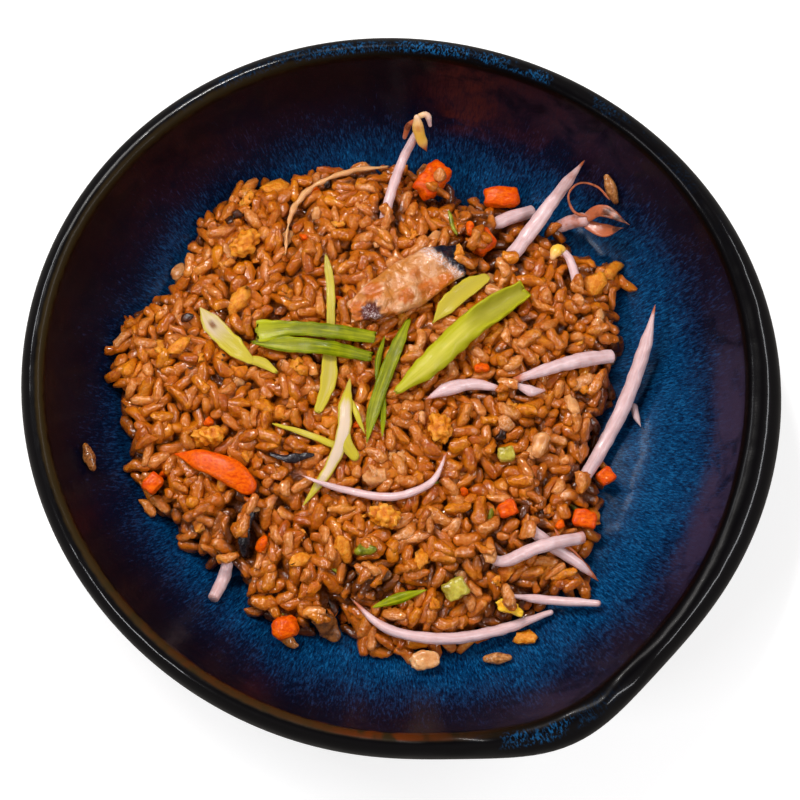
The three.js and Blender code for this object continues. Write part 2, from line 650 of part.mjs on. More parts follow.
// How far the tallest grain stands out of the heap at a point
function grainHeight(x, y, grains) {
  const room = Math.min(...spots.map((spot) => Math.hypot(x - spot.x, y - spot.y) - spot.radius));
  const free = THREE.MathUtils.clamp((room - GRAIN.room) / GRAIN.fade, 0, 1);
  let height = 0;
  for (const grain of grains) {
    const [dx, dy] = [x - grain.x, y - grain.y];
    if (Math.abs(dx) > GRAIN.long || Math.abs(dy) > GRAIN.long) continue;
    const lengthwise = (dx * Math.cos(grain.yaw) + dy * Math.sin(grain.yaw)) / (GRAIN.long / 2);
    const crosswise = (dy * Math.cos(grain.yaw) - dx * Math.sin(grain.yaw)) / (GRAIN.thick / 2);
    const inside = 1 - lengthwise ** 2 - crosswise ** 2;
    if (inside > 0) height = Math.max(height, grain.rise * Math.sqrt(inside));
  }
  return height * free;
}

// The heap: rings of points from its middle to its uneven edge, closed underneath
function heapGeometry() {
  const grains = scatterGrains();
  const corners = [];
  const faces = [];
  const corner = (x, y, z) => corners.push(x, y, z) / 3 - 1;
  const lobe = (angle) => Math.sin(EDGE_LOBE.fine * angle + 1) * Math.sin(EDGE_LOBE.coarse * angle + 2);
  const reachAt = (angle, share) => {
    return share * (heapReach(angle) + EDGE_LOBE.rise * (lobe(angle) * share ** EDGE_LOBE.fade - 1));
  };

  function ring(count, share, height) {
    return Array.from({ length: count }, (_, i) => {
      const angle = (i / count) * 2 * Math.PI;
      const reach = reachAt(angle, share);
      const x = HEAP_MIDDLE[0] + reach * Math.cos(angle);
      const y = HEAP_MIDDLE[1] + reach * Math.sin(angle);
      return corner(x, y, height(x, y, share));
    });
  }
  const topHeight = (x, y, share) => {
    const grain = grainHeight(x, y, grains) * Math.min(1, 4 * (1 - share));
    return Math.max(groundHeight(x, y) + grain, bowlHeight(x, y) + HEAP_UNDERSIDE);
  };
  const underHeight = (x, y) => bowlHeight(x, y) + HEAP_UNDERSIDE;

  // Joins an outer ring to an inner one, walking round both in step
  function band(outer, inner, upwards) {
    let [i, k] = [0, 0];
    while (i < outer.length || k < inner.length) {
      const [a, b] = [outer[i % outer.length], inner[k % inner.length]];
      const outerNext = k >= inner.length || (i < outer.length
        && (i + 0.5) / outer.length <= (k + 0.5) / inner.length);
      const c = outerNext ? outer[(i + 1) % outer.length] : inner[(k + 1) % inner.length];
      faces.push(...(upwards ? [a, c, b] : [a, b, c]));
      if (outerNext) i += 1; else k += 1;
    }
  }

  const edge = ring(6 * HEAP_RINGS, 1, underHeight);
  let outer = edge;
  for (let row = HEAP_RINGS - 1; row >= 1; row -= 1) {
    const inner = ring(6 * row, row / HEAP_RINGS, topHeight);
    band(outer, inner, true);
    outer = inner;
  }
  const peak = corner(...HEAP_MIDDLE, topHeight(...HEAP_MIDDLE, 0));
  outer.forEach((spot, i) => faces.push(spot, outer[(i + 1) % outer.length], peak));

  outer = edge;
  for (const [count, share] of HEAP_UNDER_RINGS) {
    const inner = ring(count, share, underHeight);
    band(outer, inner, false);
    outer = inner;
  }
  const base = corner(...HEAP_MIDDLE, underHeight(...HEAP_MIDDLE));
  outer.forEach((spot, i) => faces.push(outer[(i + 1) % outer.length], spot, base));

  const geometry = new THREE.BufferGeometry();
  geometry.setAttribute('position', new THREE.Float32BufferAttribute(corners, 3));
  geometry.setIndex(faces);
  return geometry;
}

add('rice_heap', 'rice', heapGeometry());

export default plate;
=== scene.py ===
"""Looks of a helping of fried rice in a hand-shaped, blue-glazed bowl.

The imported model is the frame. Lengths here are millimetres, as in the part's own source, and a mesh is
turned into metres as it is made.
"""
import logging
import math
from dataclasses import dataclass, field
from enum import Enum
from typing import Sequence

import bmesh
import bpy
import numpy as np
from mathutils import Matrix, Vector

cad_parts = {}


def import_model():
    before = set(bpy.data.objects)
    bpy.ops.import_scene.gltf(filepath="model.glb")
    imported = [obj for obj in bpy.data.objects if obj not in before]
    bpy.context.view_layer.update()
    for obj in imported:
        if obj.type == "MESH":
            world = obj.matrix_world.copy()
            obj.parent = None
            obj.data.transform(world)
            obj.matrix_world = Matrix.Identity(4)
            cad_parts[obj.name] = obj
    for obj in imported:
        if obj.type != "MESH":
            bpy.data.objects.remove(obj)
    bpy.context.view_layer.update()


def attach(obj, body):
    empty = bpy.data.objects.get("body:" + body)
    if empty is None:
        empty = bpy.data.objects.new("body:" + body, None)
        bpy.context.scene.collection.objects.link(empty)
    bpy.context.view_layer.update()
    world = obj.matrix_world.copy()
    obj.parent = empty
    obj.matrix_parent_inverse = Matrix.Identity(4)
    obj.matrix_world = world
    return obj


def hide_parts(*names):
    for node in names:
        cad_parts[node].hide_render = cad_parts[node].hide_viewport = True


LOG = logging.getLogger("fried_rice")
MM = 0.001
GAP = 0.45
TURN = 2 * math.pi

Array = np.ndarray
Colour = tuple[float, float, float, float]


def tint(red: float, green: float, blue: float) -> Colour:
    """A colour as a screen shows it, 0 to 255, made linear for a shader."""
    shares = np.array([red, green, blue]) / 255
    linear = np.where(shares <= 0.04045, shares / 12.92, ((shares + 0.055) / 1.055) ** 2.4)
    return (float(linear[0]), float(linear[1]), float(linear[2]), 1.0)


def smooth(value: Array, low: float, high: float) -> Array:
    """Eases from 0 at low to 1 at high."""
    share = np.clip((value - low) / (high - low), 0, 1)
    return share * share * (3 - 2 * share)


def eased(values: Sequence[float], share: Array) -> Array:
    """Reads a short list of values along a share of 0 to 1, eased between neighbours."""
    listed = np.asarray(values, float)
    if len(listed) == 1:
        return np.full(np.shape(share), listed[0])
    spot = np.clip(share, 0, 0.9999) * (len(listed) - 1)
    start = np.floor(spot).astype(int)
    ease = smooth(spot - start, 0, 1)
    return listed[start] * (1 - ease) + listed[start + 1] * ease


def lumps(spots: Array, size: float, seed: int, waves: int = 12) -> Array:
    """Smooth unevenness of about -1 to 1, made of waves in random directions.

    Args:
        spots: Places, one to a row, in millimetres.
        size: Usual length of a lump in millimetres.
        seed: Fixed seed of the waves.
        waves: How many waves are added up.

    Returns:
        One value for each place.
    """
    draw = np.random.default_rng(seed)
    heading = draw.normal(size=(waves, 3))
    heading /= np.linalg.norm(heading, axis=1)[:, None]
    heading *= (TURN / size * draw.uniform(0.6, 1.5, waves))[:, None]
    total = np.sin(spots @ heading.T + draw.uniform(0, TURN, waves)).sum(1)
    return np.clip(total / math.sqrt(waves), -1.4, 1.4)


def led_through(anchors: Array, shares: Array) -> Array:
    """A centripetal curve through anchors.

    Args:
        anchors: Places that the curve passes, one to a row.
        shares: Shares of the curve's length at which it is read.

    Returns:
        One place for each share.
    """
    knots = np.vstack([2 * anchors[0] - anchors[1], anchors, 2 * anchors[-1] - anchors[-2]])
    steps = np.sqrt(np.linalg.norm(np.diff(knots, axis=0), axis=1))
    t = np.linspace(0, 1, 40, endpoint=False)[:, None]
    parts = []
    for i in range(1, len(knots) - 2):
        before, here, after, beyond = knots[i - 1 : i + 3]
        first, middle, last = steps[i - 1 : i + 2]
        chord = (after - here) / middle
        leave = middle * ((here - before) / first - (after - before) / (first + middle) + chord)
        arrive = middle * (chord - (beyond - here) / (middle + last) + (beyond - after) / last)
        parts.append(
            (2 * t**3 - 3 * t**2 + 1) * here
            + (t**3 - 2 * t**2 + t) * leave
            + (3 * t**2 - 2 * t**3) * after
            + (t**3 - t**2) * arrive
        )
    fine = np.vstack([*parts, knots[-2]])
    gone = np.concatenate([[0], np.cumsum(np.linalg.norm(np.diff(fine, axis=0), axis=1))])
    return np.column_stack([np.interp(shares * gone[-1], gone, fine[:, k]) for k in range(3)])


def tube_faces(rings: int, sides: int) -> list[tuple[int, ...]]:
    """Faces of a closed tube whose corners are a first one, the rings in turn and a last one."""
    last, far = 1 + rings * sides, (rings - 1) * sides
    faces: list[tuple[int, ...]] = []
    for k in range(sides):
        here, there = 1 + k, 1 + (k + 1) % sides
        faces += [(0, here, there), (last, there + far, here + far)]
        faces += [(here + i, here + i + sides, there + i + sides, there + i) for i in range(0, far, sides)]
    return faces


@dataclass(frozen=True)
class Wave:
    """A slow wave in the rim."""

    count: int
    rise: float
    turn: float

    def at(self, angle: Array) -> Array:
        """Rise of the wave in a direction."""
        return self.rise * np.cos(self.count * angle + self.turn)


@dataclass(frozen=True)
class Swell:
    """A smooth hump in a ring of directions."""

    angle: float
    spread: float
    reach: float

    def at(self, angle: Array) -> Array:
        """Reach of the hump in a direction."""
        turn = np.mod(angle - self.angle + math.pi, TURN) - math.pi
        return self.reach * np.exp(-((turn / self.spread) ** 2))


@dataclass(frozen=True)
class BowlForm:
    """Size and shape of the bowl, as in the part's source."""

    rim_radius: float = 100.44
    waves: tuple[Wave, ...] = (
        Wave(1, 0.43, 4.45),
        Wave(2, 2.3, 0.54),
        Wave(3, 0.36, -1.31),
        Wave(4, 0.11, -0.78),
    )
    corner: Swell = Swell(-1.126, 0.226, 5.24)
    lip_width: float = 6.75
    lip_swells: tuple[Swell, ...] = (Swell(-0.175, 0.56, 3.7), Swell(-1.126, 0.226, 2.5))
    lip_roll: tuple[tuple[float, float], ...] = (
        (0.0, 40.5), (0.1, 43.6), (0.35, 45.6), (0.62, 46.0), (0.88, 45.0),
    )
    floor_top: float = 8.0
    wall_rise: float = 35.0
    wall_power: float = 7.0
    foot_hollow: float = 46.5
    foot_inner: float = 47.5
    foot_outer: float = 52.0
    foot_top: float = 53.5
    foot_rise: float = 4.0
    foot_recess: float = 2.5
    outer_power: float = 2.2

    def rim(self, angle: Array) -> Array:
        """Radius of the rim's outside in a direction."""
        return self.rim_radius + self.corner.at(angle) + sum(w.at(angle) for w in self.waves)

    def lip(self, angle: Array) -> Array:
        """Width of the lip in a direction."""
        return self.lip_width + sum(swell.at(angle) for swell in self.lip_swells)

    def wall(self, angle: Array) -> Array:
        """Radius at which the inner wall meets the lip."""
        return self.rim(angle) - self.lip(angle)

    def wall_height(self, share: Array) -> Array:
        """Height of the inside at a share of the way to the lip."""
        return self.floor_top + self.wall_rise * share**self.wall_power

    def inside(self, x: Array, y: Array) -> Array:
        """Height of the inside over a place."""
        share = np.hypot(x, y) / self.wall(np.arctan2(y, x))
        return self.wall_height(np.minimum(1.0, share))


@dataclass(frozen=True)
class HeapForm:
    """Size and shape of the heap of rice without its grains, as in the part's source.

    Every place of the food is measured from the food's own middle, a little in front of the bowl's.
    """

    bowl: BowlForm = BowlForm()
    place: tuple[float, float] = (0.0, -2.6)
    middle: tuple[float, float] = (-7.4, 0.0)
    reach: tuple[float, ...] = (
        64.5, 68.5, 74, 79.5, 73, 71, 70, 66.5, 71, 72.5, 72, 72.5, 75, 74, 70, 67.5, 74.5, 75.5,
        70, 69.5, 68, 64, 62.5, 59, 64, 66, 58, 67, 70.5, 70, 69.5, 71, 76.5, 70, 68.5, 63,
    )
    height: float = 21.0
    underside: float = 0.5
    shoulder: float = 2.2
    slope: float = 0.6

    def reach_at(self, angle: Array) -> Array:
        """Reach of the heap in a direction from its middle."""
        listed = np.asarray(self.reach)
        spot = np.mod(angle, TURN) / TURN * len(listed)
        start = np.floor(spot).astype(int) % len(listed)
        ease = (1 - np.cos(math.pi * (spot - np.floor(spot)))) / 2
        return listed[start] * (1 - ease) + listed[(start + 1) % len(listed)] * ease

    def share(self, x: Array, y: Array) -> Array:
        """Share of the way from the heap's middle to its edge."""
        dx, dy = x - self.middle[0], y - self.middle[1]
        return np.hypot(dx, dy) / self.reach_at(np.arctan2(dy, dx))

    def glaze(self, x: Array, y: Array) -> Array:
        """Height of the inside of the bowl under a place of the food."""
        return self.bowl.inside(x + self.place[0], y + self.place[1])

    def ground(self, x: Array, y: Array) -> Array:
        """Height of the rice without grains, and of the bowl where there is no rice."""
        share = np.minimum(1.0, self.share(x, y))
        lump = 1.4 * np.sin(x / 4.9 + 0.6) * np.sin(y / 5.3 - 0.4) + 0.4 * np.sin((x + y) / 3.4 + 2)
        dome = self.height * (1 - share**self.shoulder) ** self.slope
        rice = self.underside + dome + lump * (1 - share**4)
        return self.glaze(x, y) + np.where(share < 1, rice, 0)

    def rest(self, x: Array, y: Array, wide: Array, high: Array) -> Array:
        """Lowest middle height at which a piece of this half width and half height clears the ground."""
        height = self.ground(x, y) + high
        for share in (0.5, 0.85, 1.0):
            for angle in np.arange(8) * TURN / 8:
                px, py = x + wide * share * np.cos(angle), y + wide * share * np.sin(angle)
                height = np.maximum(height, self.ground(px, py) + high * math.sqrt(1 - share**2))
        return height + GAP


def linked(name: str, data: bpy.types.ID) -> bpy.types.Object:
    """Makes an object and links it into the scene."""
    made = bpy.data.objects.new(name, data)
    bpy.context.scene.collection.objects.link(made)
    return made


def paint(mesh: bpy.types.Mesh, marks: dict[str, Array]) -> None:
    """Writes marks as attributes of a mesh's corners: numbers, or vectors where they have columns."""
    for name, values in marks.items():
        kind, key = ("FLOAT", "value") if values.ndim == 1 else ("FLOAT_VECTOR", "vector")
        layer = mesh.attributes.new(name, kind, "POINT")
        layer.data.foreach_set(key, np.ascontiguousarray(values, np.float32).ravel())


@dataclass
class Patch:
    """Corners, faces and painted marks of a mesh under construction, in millimetres."""

    corners: Array
    faces: list[tuple[int, ...]]
    marks: dict[str, Array] = field(default_factory=dict)

    @staticmethod
    def joined(patches: Sequence["Patch"]) -> "Patch":
        """Puts patches into one, with a mark of 0 where a patch lacks it."""
        names = {name for patch in patches for name in patch.marks}
        faces: list[tuple[int, ...]] = []
        count = 0
        for patch in patches:
            faces += [tuple(corner + count for corner in face) for face in patch.faces]
            count += len(patch.corners)
        marks = {
            name: np.concatenate([p.marks.get(name, np.zeros(len(p.corners))) for p in patches])
            for name in sorted(names)
        }
        return Patch(np.vstack([patch.corners for patch in patches]), faces, marks)

    def as_object(
        self, name: str, finish: bpy.types.Material, place: tuple[float, float] = (0.0, 0.0)
    ) -> bpy.types.Object:
        """Makes a smooth mesh object in metres, with the marks as attributes of its corners.

        Args:
            name: Name of the piece.
            finish: Its material.
            place: Where the middle that the corners are measured from lies in the bowl.

        Returns:
            The object, linked into the scene.
        """
        mesh = bpy.data.meshes.new(name)
        mesh.from_pydata(((self.corners + [*place, 0]) * MM).tolist(), [], self.faces)
        mesh.polygons.foreach_set("use_smooth", [True] * len(mesh.polygons))
        paint(mesh, self.marks)
        mesh.materials.append(finish)
        return linked(name, mesh)


def in_place(piece: bpy.types.Object, slot: str, *nodes: str) -> bpy.types.Object:
    """Lets a piece ride on the part and stand for the nodes that it replaces."""
    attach(piece, "root")
    if nodes:
        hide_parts(*nodes)
    piece.data.calc_loop_triangles()
    LOG.info("%s: %d triangles", piece.name, len(piece.data.loop_triangles))
    return piece


class Nodes:
    """A node tree under construction."""

    def __init__(self, tree: bpy.types.NodeTree) -> None:
        """Takes the tree as it is."""
        self.tree = tree

    def node(
        self, kind: str, inputs: dict[int | str, object] | None = None, **settings: object
    ) -> bpy.types.Node:
        """Adds a node with its settings, and feeds its inputs."""
        made = self.tree.nodes.new(kind)
        for key, value in settings.items():
            setattr(made, key, value)
        for key, value in (inputs or {}).items():
            self.feed(made.inputs[key], value)
        return made

    def feed(self, socket: bpy.types.NodeSocket, value: object) -> None:
        """Links a socket to another one, or gives it a value."""
        if isinstance(value, bpy.types.NodeSocket):
            self.tree.links.new(value, socket)
        else:
            socket.default_value = value

    def maths(self, way: str, *values: object) -> bpy.types.NodeSocket:
        """A sum, product or other step on numbers."""
        return self.node("ShaderNodeMath", dict(enumerate(values)), operation=way).outputs[0]

    def vector(self, way: str, *values: object, **named: object) -> bpy.types.NodeSocket:
        """A step on vectors."""
        inputs = {**dict(enumerate(values)), **named}
        return self.node("ShaderNodeVectorMath", inputs, operation=way).outputs[0]


class Shader(Nodes):
    """The node tree of one finish. Lengths in it are millimetres."""

    def __init__(self, name: str) -> None:
        """Starts with one Principled surface."""
        self.material = bpy.data.materials.new(name)
        self.material.use_nodes = True
        super().__init__(self.material.node_tree)
        self.surface = self.tree.nodes["Principled BSDF"]
        self._place: bpy.types.NodeSocket | None = None

    def place(self, stretch: tuple[float, float, float] = (1, 1, 1)) -> bpy.types.NodeSocket:
        """The place on the piece, in millimetres times a stretch."""
        if self._place is None:
            self._place = self.node("ShaderNodeTexCoord").outputs["Object"]
        scale = tuple(side / MM for side in stretch)
        return self.node("ShaderNodeMapping", {"Vector": self._place, "Scale": scale}).outputs[0]

    def mark(self, name: str) -> bpy.types.NodeSocket:
        """A mark that is painted on the mesh."""
        return self.node("ShaderNodeAttribute", attribute_name=name).outputs["Fac"]

    def lengthwise(self, fine: float, long: float) -> bpy.types.NodeSocket:
        """A place that is fine across a stalk and long along it, for fibres and veins."""
        return self.node("ShaderNodeCombineXYZ", {
            0: self.maths("MULTIPLY", self.mark("across"), fine),
            1: self.maths("MULTIPLY", self.mark("upper"), fine),
            2: self.maths("DIVIDE", self.mark("gone"), long),
        }).outputs[0]

    def noise(
        self, size: float, place: bpy.types.NodeSocket | None = None, detail: float = 2.0,
        rough: float = 0.5, warp: float = 0.0,
    ) -> bpy.types.NodeSocket:
        """Cloudy noise of 0 to 1 whose lumps have a size in millimetres."""
        return self.node("ShaderNodeTexNoise", {
            "Vector": place or self.place(), "Scale": 1 / size, "Detail": detail, "Roughness": rough,
            "Distortion": warp,
        }).outputs[0]

    def between(
        self, value: object, low: float, high: float, start: float = 0.0, end: float = 1.0
    ) -> bpy.types.NodeSocket:
        """Eases from start to end as a value goes from low to high."""
        values = dict(enumerate((value, low, high, start, end)))
        return self.node("ShaderNodeMapRange", values, interpolation_type="SMOOTHSTEP").outputs[0]

    def ramp(self, value: object, *stops: tuple[float, Colour]) -> bpy.types.NodeSocket:
        """A colour for each stretch of a value."""
        made = self.node("ShaderNodeValToRGB", {0: value})
        points = made.color_ramp.elements
        while len(points) < len(stops):
            points.new(0.5)
        for point, (spot, colour) in zip(points, stops):
            point.position, point.color = spot, colour
        return made.outputs[0]

    def mix(self, share: object, first: object, second: object) -> bpy.types.NodeSocket:
        """One colour over another by a share."""
        return self.node("ShaderNodeMix", {0: share, 6: first, 7: second}, data_type="RGBA").outputs[2]

    def bump(self, height: object, depth: float) -> None:
        """Relief whose full depth is in millimetres."""
        made = self.node("ShaderNodeBump", {"Distance": depth * MM, "Height": height})
        for socket in ("Normal", "Coat Normal"):
            self.feed(self.surface.inputs[socket], made.outputs[0])

    def finished(
        self, colour: object, rough: object, specular: float, coat: object = 0.0,
        coat_rough: float = 0.03, **more: object,
    ) -> bpy.types.Material:
        """Sets the surface's own sockets, further ones by name, and gives the material."""
        sockets = {
            "Base Color": colour, "Roughness": rough, "Specular IOR Level": specular, "Coat Weight": coat,
            "Coat Roughness": coat_rough, **more,
        }
        for name, value in sockets.items():
            self.feed(self.surface.inputs[name.replace("_", " ")], value)
        return self.material

    def fleshy(self, share: float, depth: float, warmth: tuple[float, float, float]) -> None:
        """Lets light into the flesh, to a depth in millimetres."""
        self.surface.inputs["Subsurface Weight"].default_value = share
        self.surface.inputs["Subsurface Radius"].default_value = warmth
        self.surface.inputs["Subsurface Scale"].default_value = depth * MM


@dataclass(frozen=True)
class ReactiveGlaze:
    """Dark blue glaze that breaks to maroon where it runs thin, under a clear shine on the lip."""

    navy: Colour = tint(0, 16, 42)
    blue: Colour = tint(0, 44, 82)
    bright: Colour = tint(16, 84, 132)
    maroon: Colour = tint(9, 6, 14)
    speck: Colour = tint(30, 36, 66)
    # Plum-grey of a painted reflection on the wall near the lip.
    plum: Colour = tint(60, 48, 72)
    rust: Colour = tint(66, 26, 26)
    black: Colour = tint(3, 2, 4)
    olive: Colour = tint(46, 35, 16)
    amber: Colour = tint(84, 36, 8)
    clay: Colour = tint(150, 118, 92)

    def material(self) -> bpy.types.Material:
        """Fine streaks run down to the floor, and broad clouds lie over them."""
        s = Shader("reactive_glaze")
        place = s.place()
        apart = s.node("ShaderNodeSeparateXYZ", {0: place}).outputs
        flat = s.node("ShaderNodeCombineXYZ", {0: apart[0], 1: apart[1]}).outputs[0]
        around = s.vector("SCALE", s.vector("NORMALIZE", flat), Scale=170.0)
        down = s.node("ShaderNodeCombineXYZ", {2: s.maths("MULTIPLY", s.mark("gone"), 0.8)}).outputs[0]
        streak = s.noise(1.0, s.vector("ADD", around, down), 3, 0.66, 0.5)
        fine = s.noise(0.42, place, 2, 0.7)
        cloud = s.noise(11, place, 4, 0.6, 0.6)
        patch = s.noise(24, place, 3, 0.55, 0.3)
        zone, cool = s.mark("zone"), s.mark("cool")

        fall = s.maths("ADD", s.maths("MULTIPLY_ADD", patch, 0.12, zone), s.maths("MULTIPLY", cool, -0.1))
        fade = s.between(s.maths("MULTIPLY_ADD", streak, 0.06, fall), 0.84, 1.10)
        lit = s.maths("ADD", streak, s.maths("MULTIPLY_ADD", cloud, 0.16, -0.08))
        lit = s.maths("ADD", lit, s.maths("MULTIPLY_ADD", fine, 0.14, -0.07))
        lit = s.maths("ADD", lit, s.maths("MULTIPLY_ADD", fade, -0.3, s.maths("MULTIPLY", cool, 0.05)))
        gap = s.mix(fade, self.navy, self.maroon)
        colour = s.mix(s.between(lit, 0.36, 0.52), gap, s.mix(fade, self.blue, self.speck))
        colour = s.mix(s.between(lit, 0.50, 0.72), colour, self.bright)
        red = s.maths("MULTIPLY", s.between(fine, 0.56, 0.66), s.between(fade, 0.0, 0.5, 0.12, 0.5))
        colour = s.mix(red, colour, tint(40, 10, 22))
        # A plum-grey painted reflection of a window on the wall near the lip.
        plum = s.maths("MULTIPLY", s.mark("plum"), s.between(cloud, 0.30, 0.56))
        colour = s.mix(s.maths("MULTIPLY", plum, 0.85), colour, s.mix(fine, tint(44, 34, 54), self.plum))
        rust = s.maths("MULTIPLY", s.mark("rust"), s.between(cloud, 0.36, 0.62))
        colour = s.mix(s.maths("MULTIPLY", rust, s.between(streak, 0.3, 0.6, 0.4, 1.0)), colour, self.rust)

        band = s.maths("MULTIPLY_ADD", s.noise(3, place, 3), 0.12, s.maths("SUBTRACT", zone, 1.06))
        olive = s.maths("MULTIPLY", s.between(band, 0.02, 0.10), s.between(band, 0.26, 0.42, 1.0, 0.0))
        lip = s.mix(s.maths("MULTIPLY", olive, s.mark("olive")), self.black, self.olive)
        amber = s.maths("MULTIPLY", s.mark("amber"), s.between(s.noise(5, place, 3), 0.35, 0.6))
        lip = s.mix(amber, lip, self.amber)
        fleck = s.mix(s.between(streak, 0.46, 0.64), self.black, self.bright)
        crown = s.maths("MULTIPLY", s.mark("crown"), s.between(cloud, 0.42, 0.56))
        lip = s.mix(crown, lip, fleck)
        colour = s.mix(s.between(zone, 0.99, 1.03), colour, lip)

        outside = s.ramp(streak, (0.4, self.black), (0.6, self.maroon), (0.72, self.navy))
        colour = s.mix(s.between(zone, 1.98, 2.05), colour, outside)
        bare = s.between(zone, 2.97, 3.0)
        clay = s.mix(s.noise(2, place, 4), self.clay, tint(120, 92, 70))
        colour = s.mix(bare, colour, clay)
        s.bump(s.maths("ADD", s.noise(9, place, 1), s.maths("MULTIPLY", streak, 0.05)), 0.35)
        rough = s.between(bare, 0, 1, 0.3, 0.75)
        lower, upper = s.between(zone, 1.38, 1.56, 0.05, 0.4), s.between(zone, 1.86, 2.04, 1.0, 0.25)
        return s.finished(colour, rough, 0.06, s.maths("MULTIPLY", lower, upper), 0.04, IOR=1.5)


@dataclass(frozen=True)
class RiceFinish:
    """Cooked rice stained by the sauce, painted paler where it faces up as painted light, and darker in its
    creases as sauce and painted shade.
    """

    name: str
    deep: Colour
    body: Colour
    pale: Colour
    oily: Colour = tint(212, 128, 6)
    # Colours of sauce and painted shade for places that lie low between the grains.
    sauce_and_painted_shade: Colour = tint(178, 90, 0)
    deep_sauce_and_painted_shade: Colour = tint(92, 40, 0)
    relief: float = 0.34
    coat: float = 0.85

    def material(self) -> bpy.types.Material:
        """Glossy, soft and a little cloudy."""
        s = Shader(self.name)
        cloud = s.noise(1.6, detail=3, rough=0.6)
        tone = s.maths("MULTIPLY_ADD", s.mark("tone"), 0.5, s.maths("MULTIPLY", cloud, 0.6))
        tone = s.maths("ADD", tone, s.maths("MULTIPLY_ADD", s.noise(8, detail=2), 0.7, -0.33))
        # Faces that point up are painted paler and the sides darker: painted light from above.
        tone = s.maths("ADD", tone, s.between(s.mark("up"), 0.35, 0.95, -0.26, 0.16))
        tone = s.maths("ADD", tone, s.maths("MULTIPLY_ADD", s.noise(0.75, detail=2), 0.9, -0.45))
        colour = s.ramp(tone, (0.14, self.deep), (0.48, self.body), (0.82, self.pale))
        colour = s.mix(s.between(s.noise(7, detail=3), 0.52, 0.66, 0, 0.5), colour, self.oily)
        # Places that lie low between the grains are painted darker and more orange: sauce together with
        # painted shade.
        sunk = s.maths("MULTIPLY_ADD", cloud, 0.2, s.maths("SUBTRACT", s.mark("low"), 0.1))
        colour = s.mix(s.between(sunk, 0.08, 0.5, 0, 0.85), colour, self.sauce_and_painted_shade)
        colour = s.mix(s.between(sunk, 0.42, 1.0, 0, 0.95), colour, self.deep_sauce_and_painted_shade)
        grain = s.maths("ADD", s.noise(1.5, detail=1), s.maths("MULTIPLY", s.noise(0.8, detail=1), 0.5))
        s.bump(grain, self.relief)
        s.fleshy(0.3, 1.3, (1.0, 0.6, 0.26))
        return s.finished(colour, 0.42, 0.14, self.coat, 0.07)


@dataclass(frozen=True)
class SproutFinish:
    """Crisp translucent stem, browned where the wok touched it, and yellow in the seed leaf."""

    shade: Colour = tint(200, 160, 158)
    white: Colour = tint(225, 196, 198)
    yellow: Colour = tint(246, 190, 62)
    brown: Colour = tint(176, 84, 22)
    scorch: Colour = tint(70, 28, 10)

    def material(self) -> bpy.types.Material:
        """Fine fibres along the stem, with marks for yellow and brown."""
        s = Shader("sprout_flesh")
        fibre = s.noise(1.0, s.lengthwise(3.2, 9), 3, 0.6)
        cloud = s.noise(2.2, detail=3, rough=0.6)
        share = s.maths("MULTIPLY_ADD", cloud, 0.35, s.maths("MULTIPLY", fibre, 0.65))
        colour = s.ramp(share, (0.30, self.shade), (0.66, self.white))
        colour = s.mix(s.mark("yellow"), colour, self.yellow)
        browned = s.maths("MULTIPLY_ADD", cloud, 0.7, s.maths("SUBTRACT", s.mark("brown"), 0.35))
        colour = s.mix(s.between(browned, 0.12, 0.7, 0, 0.92), colour, self.brown)
        colour = s.mix(s.between(browned, 0.78, 1.1), colour, self.scorch)
        s.bump(fibre, 0.08)
        s.fleshy(0.4, 1.4, (1.0, 0.7, 0.58))
        return s.finished(colour, 0.34, 0.3, 0.3, 0.12)


@dataclass(frozen=True)
class LeafFinish:
    """Spring onion from its green top to its white foot."""

    name: str
    dark: Colour
    green: Colour
    lime: Colour = tint(190, 172, 46)
    white: Colour = tint(212, 188, 164)

    def material(self) -> bpy.types.Material:
        """Long veins, paler by the mark and greener at the edges."""
        s = Shader(self.name)
        vein = s.noise(1.0, s.lengthwise(3.4, 14), 3, 0.5)
        cloud = s.noise(3.0, detail=3)
        green = s.ramp(
            s.maths("MULTIPLY_ADD", vein, 0.6, s.maths("MULTIPLY", cloud, 0.4)),
            (0.32, self.dark), (0.50, self.green), (0.76, self.lime),
        )
        pale = s.maths("MULTIPLY_ADD", s.maths("SUBTRACT", vein, 0.5), 0.5, s.mark("pale"))
        colour = s.mix(s.between(pale, 0.0, 0.55), green, self.lime)
        colour = s.mix(s.between(pale, 0.55, 1.0), colour, self.white)
        colour = s.mix(s.maths("MULTIPLY", s.mark("trough"), 0.4), colour, tint(150, 138, 76))
        midline = s.between(s.maths("ABSOLUTE", s.mark("across")), 0.12, 0.4, 1.0, 0.0)
        slit = s.maths("MULTIPLY", s.between(s.mark("brown"), 0.1, 0.7), midline)
        colour = s.mix(slit, colour, tint(116, 66, 24))
        s.bump(vein, 0.12)
        s.fleshy(0.08, 0.8, (0.9, 0.8, 0.1))
        return s.finished(colour, 0.4, 0.06, 0.1, 0.1)


@dataclass(frozen=True)
class CarrotFinish:
    """Cooked carrot, deeper at its edges."""

    deep: Colour = tint(198, 60, 0)
    bright: Colour = tint(234, 102, 0)

    def material(self) -> bpy.types.Material:
        """Fibrous and wet."""
        s = Shader("carrot_flesh")
        fibre = s.noise(1.0, s.place((0.9, 1.6, 1.6)), 3, 0.55)
        colour = s.ramp(fibre, (0.34, self.deep), (0.66, self.bright))
        colour = s.mix(s.between(s.mark("deep"), 0.1, 1.0, 0, 0.8), colour, self.deep)
        s.bump(fibre, 0.15)
        s.fleshy(0.15, 1.2, (1.0, 0.5, 0.12))
        return s.finished(colour, 0.4, 0.06, 0.2, 0.08)


